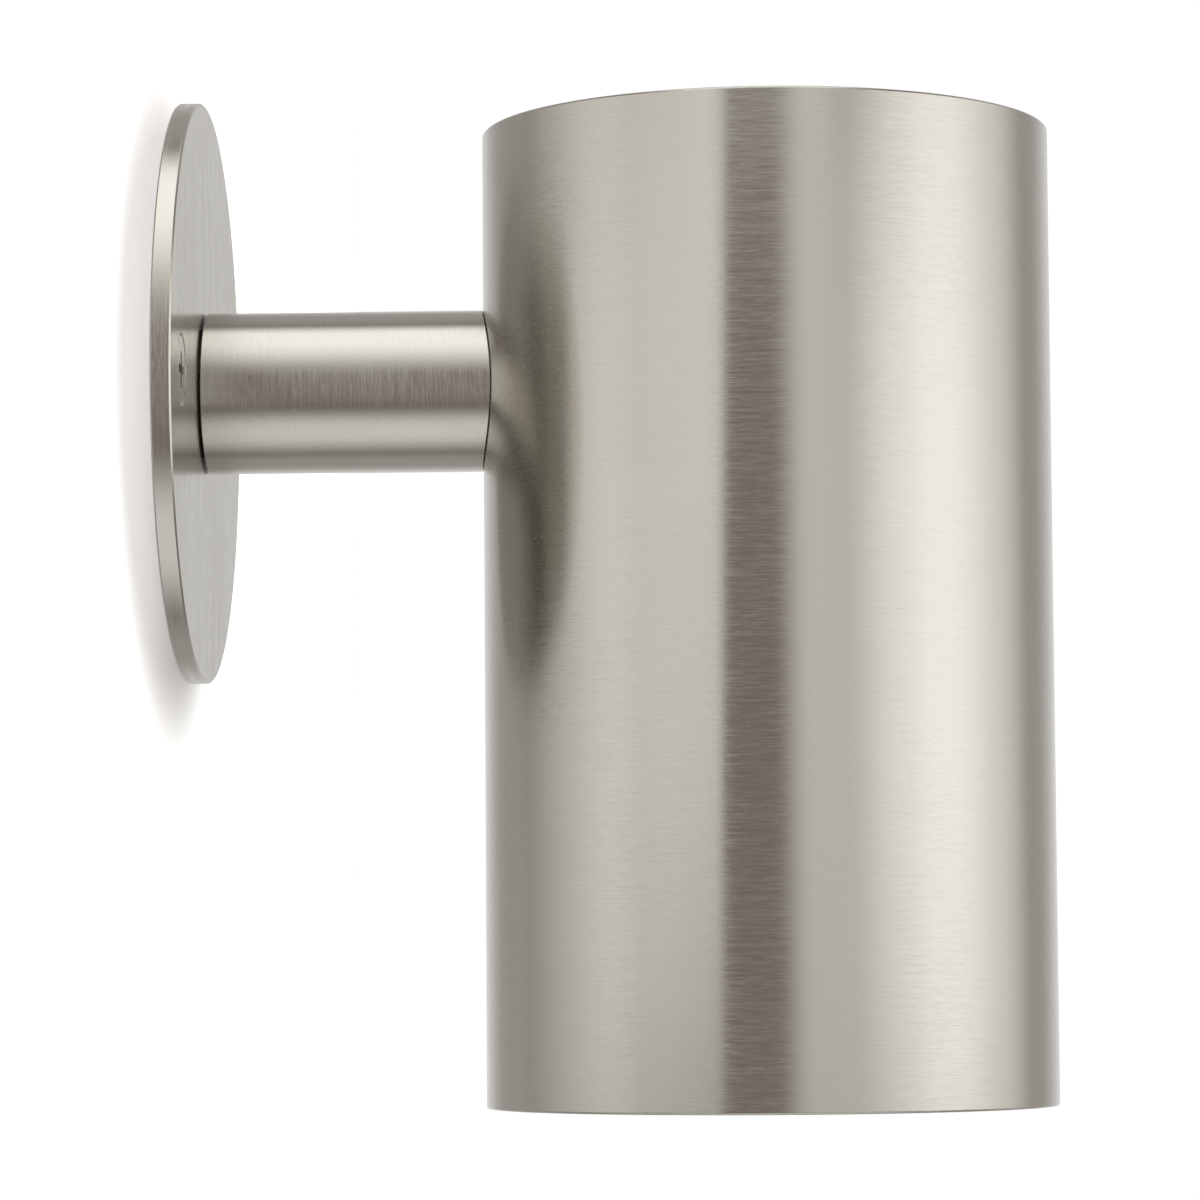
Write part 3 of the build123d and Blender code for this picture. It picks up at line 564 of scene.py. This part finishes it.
def grow(name, tree, sizes):
    """Runs a tree with these sizes and keeps what it makes as a plain mesh."""
    piece = bpy.data.objects.new(name, bpy.data.meshes.new(name))
    bpy.context.scene.collection.objects.link(piece)
    modifier = piece.modifiers.new("grow", "NODES")
    modifier.node_group = tree.tree
    keys = {item.name: item.identifier for item in tree.tree.interface.items_tree if item.in_out == "INPUT"}
    for label, value in sizes.items():
        modifier[keys[label]] = value
    graph = bpy.context.evaluated_depsgraph_get()
    mesh = bpy.data.meshes.new_from_object(piece.evaluated_get(graph), depsgraph=graph)
    piece.modifiers.remove(modifier)
    piece.data = mesh
    mesh.name = name
    mesh.materials.clear()
    mesh.materials.append(sizes["Material"])
    mesh.polygons.foreach_set("material_index", [0] * len(mesh.polygons))
    corners = [v.co for v in mesh.vertices]
    span = [round((max(c[i] for c in corners) - min(c[i] for c in corners)) / MM, 2) for i in range(3)]
    print(name, len(mesh.polygons), "faces,", span, "mm")
    return piece


# %% [markdown]
# ## Turned tubes from one small tree
# A tube is a thin rectangle carried round a circle. Geometry Nodes say just that: a circle to
# follow, a rectangle with its corners cut by Fillet Curve, and Curve to Mesh to carry it round.
# The same nodes serve the shade and the arm, and drill() takes their holes out with a boolean.

# %% Ring and drill
HOLE_STEPS = 48


def placed(geometry, **how):
    """The geometry moved by Translation and turned by Rotation, where these are given."""
    return geometry.node("GeometryNodeTransform", inputs={"Geometry": geometry, **how})


def ring(tree):
    """A rectangle with eased corners, carried round the Z axis, with its foot at height zero."""
    wall_width, length = given(tree, "Wall"), given(tree, "Length")
    path = tree.node("GeometryNodeCurvePrimitiveCircle", inputs={
        "Resolution": given(tree, "Steps"), "Radius": given(tree, "Radius") - wall_width / 2})
    path = tree.node("GeometryNodeSetCurveNormal", {"mode": "Z_UP"}, {"Curve": path})
    outline = tree.node("GeometryNodeCurvePrimitiveQuadrilateral", inputs={
        "Width": wall_width, "Height": length})
    across = split(tree.node("GeometryNodeInputPosition"), "X")[0]
    outside = compare(across, "GREATER_THAN", 0.0)
    ease = given(tree, "Inner Edge") + outside * (given(tree, "Outer Edge") - given(tree, "Inner Edge"))
    outline = tree.node("GeometryNodeFilletCurve", {"mode": "POLY"}, {
        "Curve": outline, "Radius": ease, "Count": given(tree, "Edge Steps")})
    swept = tree.node("GeometryNodeCurveToMesh", inputs={"Curve": path, "Profile Curve": outline})
    return placed(swept, Translation=combine(tree, Z=length / 2))


def drill(geometry, radius, depth, place, turn):
    """Takes a round hole out of the geometry."""
    bit = geometry.node("GeometryNodeMeshCylinder", inputs={
        "Vertices": HOLE_STEPS, "Radius": radius, "Depth": depth})
    bit = placed(bit, Translation=place, Rotation=turn)
    return geometry.node("GeometryNodeMeshBoolean", {"operation": "DIFFERENCE", "solver": "EXACT"}, {
        "Mesh 1": geometry, "Mesh 2": bit})


# %% [markdown]
# ## The shade
# One drawn tube, open at both ends, with its outer rims eased. The hole for the hollow bolt is in
# its wall, behind the arm.

# %% Shade tube
ALONG_X = (0, math.pi / 2, 0)
shade_sizes = {
    "Radius": shade_radius, "Wall": 1.5 * MM, "Length": shade_high.z - shade_low.z, "Foot": shade_low.z,
    "Centre": shade_axis_x, "Outer Edge": 0.3 * MM, "Inner Edge": 0.12 * MM, "Edge Steps": 4, "Steps": 288,
    "Hole Radius": 5.15 * MM, "Material": shade_steel,
}


def shade_tree(sizes):
    tree = new_tree("shade", sizes)
    radius, centre = given(tree, "Radius"), given(tree, "Centre")
    tube = placed(ring(tree), Translation=combine(tree, X=centre, Z=given(tree, "Foot")))
    tube = drill(tube, given(tree, "Hole Radius"), radius / 2, combine(tree, X=centre - radius), ALONG_X)
    finish_tree(tree, tube)
    return tree


shade = grow("shade", shade_tree(shade_sizes), shade_sizes)
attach(shade, "head")
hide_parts("shade_tube")

# %% [markdown]
# ## The arm
# The arm is the same tube laid along X. Its far end is coped: cut to the curve of the shade, so
# that it seats without a gap. Set Position does that. It leaves the near end alone and moves each
# point of the far end out by the depth of the curve at its distance from the middle.

# %% Arm tube
COPE_GAP = 0.05 * MM
BIT_LENGTH_IN_WALLS = 3
FAR_ASIDE, STRETCHED_ALONG_X = (0, 10, 0), (1000, 1, 1)
arm_sizes = {
    "Radius": arm_radius, "Wall": 2.0 * MM, "Length": shade_axis_x - shade_radius - COPE_GAP - arm_foot,
    "Foot": arm_foot, "Outer Edge": 0.09 * MM, "Inner Edge": 0.08 * MM, "Edge Steps": 1, "Steps": 192,
    "Cope Radius": shade_radius + COPE_GAP, "Screw Place": middle("grub_screw", 0), "Hole Radius": 2.02 * MM,
    "Material": arm_steel,
}


def arm_tree(sizes):
    tree = new_tree("arm", sizes)
    foot, cope = given(tree, "Foot"), given(tree, "Cope Radius")
    tube = placed(ring(tree), Translation=combine(tree, X=foot), Rotation=ALONG_X)
    along, aside = split(tree.node("GeometryNodeInputPosition"), "XY")
    depth = cope - (cope * cope - aside * aside) ** 0.5
    far_end = compare(along, "GREATER_THAN", foot + given(tree, "Length") / 2)
    tube = tree.node("GeometryNodeSetPosition", inputs={
        "Geometry": tube, "Selection": far_end, "Offset": combine(tree, X=depth)})
    hole_place = combine(tree, X=given(tree, "Screw Place"), Z=given(tree, "Radius"))
    bit_length = given(tree, "Wall") * BIT_LENGTH_IN_WALLS
    tube = drill(tube, given(tree, "Hole Radius"), bit_length, hole_place, (0, 0, 0))
    finish_tree(tree, tube)
    return tree


def grain_along_x(mesh):
    """Moves the mesh's texture space far off, so that the shine's own direction is X all over."""
    mesh.use_auto_texspace = False
    mesh.texspace_location = FAR_ASIDE
    mesh.texspace_size = STRETCHED_ALONG_X


arm = grow("arm", arm_tree(arm_sizes), arm_sizes)
grain_along_x(arm.data)
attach(arm, "head")
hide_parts("arm_tube")

# %% [markdown]
# ## Finishes for the working parts
# Inside the shade sits ordinary lamp hardware: zinc plated steel, unglazed ceramic, silicone leads
# in a woven sleeve, and a lamp with a cast heat sink. It is seen from below. Each finish starts
# from the colour in the part's record and gets a fine grain and slow clouds, which change its
# colour, its shine and, through Bump, its surface. Nine finishes differ only in numbers, so they
# are a table.

# %% Grained finishes
SPECK_SHARE, CLOUD_SHARE = 0.6, 0.4
PATCHES_FROM, PATCHES_TO = 0.35, 0.65
SLOW_CLOUD_SCALE = 160.0
GRAIN_SWING = 0.2


def grained_surface(tree, colour, metallic, roughness, grain, depth):
    """The shader and its bump, with a shine that follows the grain."""
    surface(tree, {
        "Base Color": colour, "Metallic": metallic, "Normal": bumps(grain, strength=0.4, depth=depth),
        "Roughness": grain * GRAIN_SWING + (roughness - GRAIN_SWING / 2)})


def grained(name, colour, metallic, roughness, grain, tone, depth):
    """An even material with a fine grain, so many specks per metre, and slow clouds."""
    material, tree = new_material(name)
    where = object_place(tree)
    patches = (noise(where, grain, detail=4.0, roughness=0.6) * SPECK_SHARE
               + noise(where, SLOW_CLOUD_SCALE, detail=2.0) * CLOUD_SHARE)
    patchy = step_up(patches, PATCHES_FROM, PATCHES_TO)
    mixed = between(patchy, tinted(colour, 1 - tone), tinted(colour, 1 + tone))
    grained_surface(tree, mixed, metallic, roughness, patches, depth)
    return material


# For each slot: the finish's name, how metallic, how rough, specks per metre, the swing of its tone
# and the depth of its grain.
GRAINED_FINISHES = {
    "holder_ceramic": ("steatite", 0.0, 0.62, 2600.0, 0.05, 0.03 * MM),
    "bush_plastic": ("nylon", 0.0, 0.42, 900.0, 0.03, 0.01 * MM),
    "lamp_plastic": ("lamp_white", 0.0, 0.3, 1200.0, 0.02, 0.01 * MM),
    "board_white": ("board_white", 0.0, 0.4, 1800.0, 0.04, 0.01 * MM),
    "led_phosphor": ("phosphor", 0.0, 0.5, 5200.0, 0.14, 0.02 * MM),
    "lamp_aluminium": ("cast_aluminium", 0.85, 0.46, 3800.0, 0.07, 0.04 * MM),
    "zinc_steel": ("zinc_plate", 1.0, 0.24, 700.0, 0.06, 0.005 * MM),
    "lead_live": ("live_silicone", 0.0, 0.45, 800.0, 0.08, 0.01 * MM),
    "lead_neutral": ("neutral_silicone", 0.0, 0.45, 800.0, 0.08, 0.01 * MM),
}
slot_colours = {entry["slot"]: tuple(entry["base_color"][:3]) for entry in frame["record"]["materials"]}
finish_of_slot = {slot: grained(name, slot_colours[slot], *look)
                  for slot, (name, *look) in GRAINED_FINISHES.items()}
print("grained finishes", len(finish_of_slot), "of", len(slot_colours), "record colours")

# %% [markdown]
# Turned and rolled metals are brushed steel's relatives: the same shader with its grain laid
# another way. Brass fittings and screws were turned on a lathe, so their marks run round X, which
# is the axis of the arm and of the screws that show. The round cap was spun: its marks are circles
# about the shade's axis, so its noise is read by distance from that axis. The spigot is brass too,
# and the arm turns on it. Its colour is darkened to nearly black as painted shade, so that the thin
# gap behind the arm looks dark.

# %% Turned, rolled and spun metals
TURNED = {"grain": (5200, 500, 500), "long_grain": (1600, 90, 90), "centre": (0, 0, 0)}
# The share of the brass's colour left on the spigot, which is darkened as painted shade for the gap behind
# the arm.
GAP_SHADE_SHARE = 0.12
brass = slot_colours["turned_brass"]
fastener_steel = brushed("fastener_steel", slot_colours["steel_fastener"], **TURNED, roughness=0.3,
                         contrast=0.08)
turned_brass = brushed("turned_brass", brass, **TURNED, roughness=0.28, contrast=0.07)
# The spigot's brass, darkened to near black: painted shade for the thin gap behind the arm.
gap_shade_brass = brushed("gap_shade_brass", tinted(brass, GAP_SHADE_SHARE)[:3], **TURNED, roughness=0.5,
                        contrast=0.07)
strip_brass = brushed("strip_brass", slot_colours["contact_brass"], grain=(300, 300, 3600),
                      long_grain=(60, 60, 900), centre=shade_middle, roughness=0.26, contrast=0.06)
cap_steel = brushed("cap_steel", STEEL_TINT, grain=(7000, 3.0, 3.0), long_grain=(2500, 0.8, 0.8),
                    centre=shade_middle, roughness=0.26, anisotropy=0.8, spun=True)
# The share printed below is the spigot's darkening, a painted shade for the gap behind the arm.
print("grease leaves", round(100 * GAP_SHADE_SHARE), "% of the brass's colour")

# %% [markdown]
# Two finishes have a drawn pattern. The sleeve is a braid: two sets of strands that wind round the
# arm's axis in opposite ways, made of the angle round that axis and the distance along it. The
# earth lead is green with a yellow stripe that winds slowly.

# %% Braid and stripe
BRAID_STRANDS = 8
BRAID_PITCH = 3.2 * MM
STRIPE_PITCH = 24 * MM
BRAID_DARK, BRAID_LIGHT = 0.72, 1.06
STRIPE_EDGE = (0.15, 0.3)
EARTH_YELLOW = (0.78, 0.62, 0.05)


def around_x(tree, centre):
    """The angle round a line along X through this centre, and the distance along it."""
    x, y, z = split(vector_sum("SUBTRACT", object_place(tree), centre))
    return y.sum("ARCTAN2", z, y), x


def braided(name, colour):
    material, tree = new_material(name)
    angle, along = around_x(tree, (0, 0, 0))
    turn = angle * BRAID_STRANDS
    climb = along * (2 * math.pi / BRAID_PITCH)
    over = turn.sum("SINE", turn + climb) * turn.sum("SINE", turn - climb)
    weave = over * 0.5 + 0.5
    mixed = between(weave, tinted(colour, BRAID_DARK), tinted(colour, BRAID_LIGHT))
    grained_surface(tree, mixed, metallic=0.0, roughness=0.6, grain=weave, depth=0.15 * MM)
    return material


def striped(name, colour, stripe, centre):
    material, tree = new_material(name)
    angle, along = around_x(tree, centre)
    wave = angle.sum("SINE", angle + along * (2 * math.pi / STRIPE_PITCH))
    mixed = between(step_up(wave, *STRIPE_EDGE), tinted(colour, 1.0), tinted(stripe, 1.0))
    fine = noise(object_place(tree), scale=800.0, detail=3.0)
    grained_surface(tree, mixed, metallic=0.0, roughness=0.45, grain=fine, depth=0.01 * MM)
    return material


earth_centre = tuple(middle("earth_lead", axis) for axis in range(3))
braid = braided("glass_braid", slot_colours["sleeve_glass"])
earth_skin = striped("earth_silicone", slot_colours["lead_earth"], EARTH_YELLOW, earth_centre)
print("braid of", 2 * BRAID_STRANDS, "strands, one turn in", round(BRAID_PITCH * BRAID_STRANDS / MM, 1), "mm")

# %% [markdown]
# ## The lamp's front
# A spot lamp of this size has a small lens over each of its seven chips: one in the middle and six
# in a ring. The front is one moulded disc, flat behind and with seven shallow domes in front. The
# domes could be balls joined on with a boolean, but that leaves slivers along each joint. So the
# disc starts as a cylinder whose ends have many close rings, and Set Position pulls each point of
# its front out by a rule: the height of a ball's cap at that distance from the nearest lens centre.
# Both the shape and the plastic follow that distance, so it gets a function of its own.

# %% Where the seven lenses are
LENS_RING_COUNT = 6
LENS_RING_RADIUS = 11.0 * MM
DOME_RADIUS = 4.7 * MM
lens_low, lens_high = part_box("lamp_lens")
lens_middle = (middle("lamp_lens", 0), middle("lamp_lens", 1), 0)


def from_nearest_lens(place):
    """The distance across the disc from a place to the nearest lens centre."""
    flat = vector_sum("MULTIPLY", place, (1, 1, 0))
    nearest = vector_sum("LENGTH", flat)
    for k in range(LENS_RING_COUNT):
        angle = 2 * math.pi * k / LENS_RING_COUNT
        centre = (LENS_RING_RADIUS * math.cos(angle), LENS_RING_RADIUS * math.sin(angle), 0)
        nearest = nearest.sum("MINIMUM", nearest, vector_sum("DISTANCE", flat, centre))
    return nearest


print("lens", round((lens_high.z - lens_low.z) / MM, 2), "mm high with", LENS_RING_COUNT + 1, "domes")

# %% [markdown]
# The plastic is clear inside a dome, so that the chip shows through, and frosted between the domes.
# Alpha is enough for a sheet this thin, and costs little to render.

# %% Plastic that is clear in the domes and frosted between them
FROST_EDGE = (0.9 * DOME_RADIUS, DOME_RADIUS)
CLEAR_EDGE = (0.68 * DOME_RADIUS, 1.02 * DOME_RADIUS)
CLEAR_ALPHA, FROSTED_ALPHA = 0.10, 0.70
CLEAR_ROUGHNESS, FROST_ROUGHNESS, SPECK_ROUGHNESS = 0.06, 0.3, 0.1
LENS_TONE = 0.03
PLASTIC_IOR = 1.49


def lens_plastic(name, colour):
    material, tree = new_material(name)
    where = object_place(tree)
    from_lens = from_nearest_lens(vector_sum("SUBTRACT", where, lens_middle))
    frost = step_up(from_lens, *FROST_EDGE)
    thick = step_up(from_lens, *CLEAR_EDGE)
    specks = noise(where, scale=3200.0, detail=4.0)
    surface(tree, {
        "Base Color": between(specks, tinted(colour, 1 - LENS_TONE), tinted(colour, 1 + LENS_TONE)),
        "Normal": bumps(specks * frost, strength=0.3, depth=0.02 * MM), "IOR": PLASTIC_IOR,
        "Roughness": specks * SPECK_ROUGHNESS + frost * FROST_ROUGHNESS + CLEAR_ROUGHNESS,
        "Alpha": thick * (FROSTED_ALPHA - CLEAR_ALPHA) + CLEAR_ALPHA})
    return material


frosted = lens_plastic("frosted_lens", slot_colours["lens_frosted"])
print("clear within", round(CLEAR_EDGE[0] / MM, 1), "mm of a lens centre")

# %% [markdown]
# The ball that a dome is cut from follows from the dome's radius and height. Where a point is
# further from every lens than the dome's radius, MAXIMUM holds the cap's height at nothing.

# %% Lens
LENS_PLATE = 0.55 * MM
lens_sizes = {
    "Centre": middle("lamp_lens", 0), "Top": lens_high.z, "Radius": reach("lamp_lens", 0) / 2,
    "Plate": LENS_PLATE, "Dome Radius": DOME_RADIUS, "Dome Height": lens_high.z - lens_low.z - LENS_PLATE,
    "Steps": 192, "Rings": 56, "Material": frosted,
}


def lens_tree(sizes):
    tree = new_tree("lens", sizes)
    plate, dome, height = given(tree, "Plate"), given(tree, "Dome Radius"), given(tree, "Dome Height")
    disc = tree.node("GeometryNodeMeshCylinder", inputs={
        "Vertices": given(tree, "Steps"), "Fill Segments": given(tree, "Rings"),
        "Radius": given(tree, "Radius"), "Depth": plate})
    where = tree.node("GeometryNodeInputPosition")
    level = split(where, "Z")[0]
    away = from_nearest_lens(where)
    ball = (dome * dome + height * height) / (height * 2)
    flat_part = ball * ball - dome * dome
    cap = away.sum("MAXIMUM", ball * ball - away * away, flat_part) ** 0.5 - flat_part ** 0.5
    lens = tree.node("GeometryNodeSetPosition", inputs={
        "Geometry": disc, "Selection": compare(level, "LESS_THAN", 0.0), "Offset": combine(tree, Z=cap * -1)})
    seat = combine(tree, X=given(tree, "Centre"), Z=given(tree, "Top") - plate / 2)
    finish_tree(tree, placed(lens, Translation=seat))
    return tree


lens = grow("lens", lens_tree(lens_sizes), lens_sizes)
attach(lens, "lamp")
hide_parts("lamp_lens")

# %% [markdown]
# A CAD part whose shape is right keeps its mesh and only gets its finish. The record says which
# slot each part belongs to, so one table from slot to material dresses them all. Two parts have a
# finish of their own: the spun cap, and the spigot, whose brass is darkened as painted shade for the
# gap behind the arm.

# %% Dress the CAD parts
finish_of_slot.update({
    "satin_steel": plate_steel, "steel_fastener": fastener_steel, "turned_brass": turned_brass,
    "contact_brass": strip_brass, "sleeve_glass": braid, "lead_earth": earth_skin, "lens_frosted": frosted,
})
slot_of_part = {entry["node"]: entry["material_slot"] for entry in frame["record"]["subparts"]}
# The spigot gets the darkened brass, a painted shade for the gap behind the arm.
finish_of_part = {"top_cap": cap_steel, "arm_spigot": gap_shade_brass}
for name, part in nodes.items():
    part.data.materials.clear()
    part.data.materials.append(finish_of_part.get(name, finish_of_slot[slot_of_part[name]]))
print("dressed", len(nodes), "parts")

# %% [markdown]
# ## Screws
# Two countersunk screws hold the plate and three small ones hold the spigot from behind. A screw is
# a turned blank, a cross cut into its head and a thread wound round its shank. The blank is a line
# of points down the middle, and the Scale of Curve to Mesh gives each point its own radius, which
# turns the line like a lathe.

# %% Lathe and cross


def by_index(tree, values):
    """The first value on the first point, the second on the next, and so on."""
    index = tree.node("GeometryNodeInputIndex")
    total = index * 0 + values[0]
    for k in range(1, len(values)):
        reached = index.node("ShaderNodeClamp", inputs={"Value": index - (k - 1)})
        total = total + reached * (values[k] - values[k - 1])
    return total


def turned(tree, heights, radii, steps):
    """A solid turned about Z, with these radii at these heights."""
    line = tree.node("GeometryNodeMeshLine", inputs={"Count": len(heights)})
    line = tree.node("GeometryNodeSetPosition", inputs={
        "Geometry": line, "Position": combine(tree, Z=by_index(tree, heights))})
    path = tree.node("GeometryNodeMeshToCurve", inputs={"Mesh": line})
    outline = tree.node("GeometryNodeCurvePrimitiveCircle", inputs={"Resolution": steps, "Radius": 1.0})
    return tree.node("GeometryNodeCurveToMesh", inputs={
        "Curve": path, "Profile Curve": outline, "Scale": by_index(tree, radii), "Fill Caps": True})


def cross(tree, span, width, depth):
    """Two crossed bars, half above height zero, to be cut out of a head."""
    bars = [tree.node("GeometryNodeMeshCube", inputs={"Size": combine(tree, X=x, Y=y, Z=depth * 2)})
            for x, y in ((span, width), (width, span))]
    return tree.node("GeometryNodeJoinGeometry", inputs={"Geometry": bars})


# %% [markdown]
# The thread is a Curve Spiral with a three-sided profile. It leaves one pitch bare at the tip and
# half a pitch under the head. Instance on Points then sets the screws on a circle, each with its
# cross turned a little further. One tree makes both kinds of screw.

# %% Screw tree
CONE_SLOPE = 1.0
RIM_EASE = 0.4
TIP_TAPER = 0.6
BARE_PITCHES = 1.5
BLANK_STEPS, THREAD_STEPS, THREAD_SIDES = 40, 24, 3
CROSS_TURN = 0.7


def one_screw(tree):
    """A screw with the face of its head at height zero, made along Z and turned to face along X."""
    head, rim, neck = given(tree, "Head Radius"), given(tree, "Head Rim"), given(tree, "Neck Radius")
    length, pitch = given(tree, "Length"), given(tree, "Pitch")
    under_head = rim + (head - neck) * CONE_SLOPE
    ease = rim * RIM_EASE
    heights = [ease * 0, ease * -1, rim * -1, under_head * -1, pitch - length, length * -1]
    radii = [head - ease, head, head, neck, neck, neck - pitch * TIP_TAPER]
    recess = cross(tree, given(tree, "Recess Span"), given(tree, "Recess Width"), given(tree, "Recess Depth"))
    blank = tree.node("GeometryNodeMeshBoolean", {"operation": "DIFFERENCE", "solver": "EXACT"}, {
        "Mesh 1": turned(tree, heights, radii, BLANK_STEPS), "Mesh 2": recess, "Self Intersection": True})
    threaded = length - under_head - pitch * BARE_PITCHES
    helix = tree.node("GeometryNodeCurveSpiral", inputs={
        "Resolution": THREAD_STEPS, "Rotations": threaded / pitch, "Start Radius": neck, "End Radius": neck,
        "Height": threaded})
    ridge = tree.node("GeometryNodeCurvePrimitiveCircle", inputs={
        "Resolution": THREAD_SIDES, "Radius": given(tree, "Thread Radius") - neck})
    thread = tree.node("GeometryNodeCurveToMesh", inputs={
        "Curve": helix, "Profile Curve": ridge, "Fill Caps": True})
    thread = placed(thread, Translation=combine(tree, Z=pitch - length))
    screw = tree.node("GeometryNodeJoinGeometry", inputs={"Geometry": [blank, thread]})
    return placed(screw, Rotation=combine(tree, Y=given(tree, "Facing") * (math.pi / 2)))


def screw_tree(sizes):
    tree = new_tree("screws", sizes)
    screw = one_screw(tree)
    index = tree.node("GeometryNodeInputIndex")
    angle = index * 2 * math.pi / given(tree, "Count") + given(tree, "First Angle")
    circle = given(tree, "Circle Radius")
    place = combine(tree, X=given(tree, "Face"), Y=circle * angle.sum("COSINE", angle),
                    Z=circle * angle.sum("SINE", angle))
    points = tree.node("GeometryNodePoints", inputs={"Count": given(tree, "Count"), "Position": place})
    twist = combine(tree, X=index * CROSS_TURN + given(tree, "First Turn"))
    twist = tree.node("FunctionNodeEulerToRotation", inputs={"Euler": twist})
    screws = tree.node("GeometryNodeInstanceOnPoints", inputs={
        "Points": points, "Instance": screw, "Rotation": twist})
    finish_tree(tree, screws)
    return tree


# %% Wall screws and spigot screws
WALL_BOX_SPACING = 50.8 * MM
wall_screw_sizes = {
    "Count": 2, "Circle Radius": WALL_BOX_SPACING / 2, "First Angle": math.pi, "Facing": 1.0,
    "First Turn": 0.0, "Face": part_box("wall_screws")[1].x, "Head Radius": 4.1 * MM, "Head Rim": 0.2 * MM,
    "Neck Radius": 1.62 * MM, "Thread Radius": 2.0 * MM, "Length": reach("wall_screws", 0),
    "Pitch": 0.7 * MM, "Recess Span": 4.4 * MM, "Recess Width": 1.0 * MM, "Recess Depth": 1.5 * MM,
    "Material": fastener_steel,
}
spigot_screw_sizes = {
    "Count": 3, "Circle Radius": 6.0 * MM, "First Angle": math.pi / 2, "Facing": -1.0,
    "First Turn": 0.2, "Face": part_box("spigot_screws")[0].x, "Head Radius": 2.3 * MM, "Head Rim": 0.15 * MM,
    "Neck Radius": 1.0 * MM, "Thread Radius": 1.25 * MM, "Length": reach("spigot_screws", 0),
    "Pitch": 0.45 * MM, "Recess Span": 2.6 * MM, "Recess Width": 0.6 * MM, "Recess Depth": 0.9 * MM,
    "Material": fastener_steel,
}
for name, sizes in (("wall_screws", wall_screw_sizes), ("spigot_screws", spigot_screw_sizes)):
    screws = grow("dressed_" + name, screw_tree(sizes), sizes)
    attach(screws, "wall_mount")
    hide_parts(name)
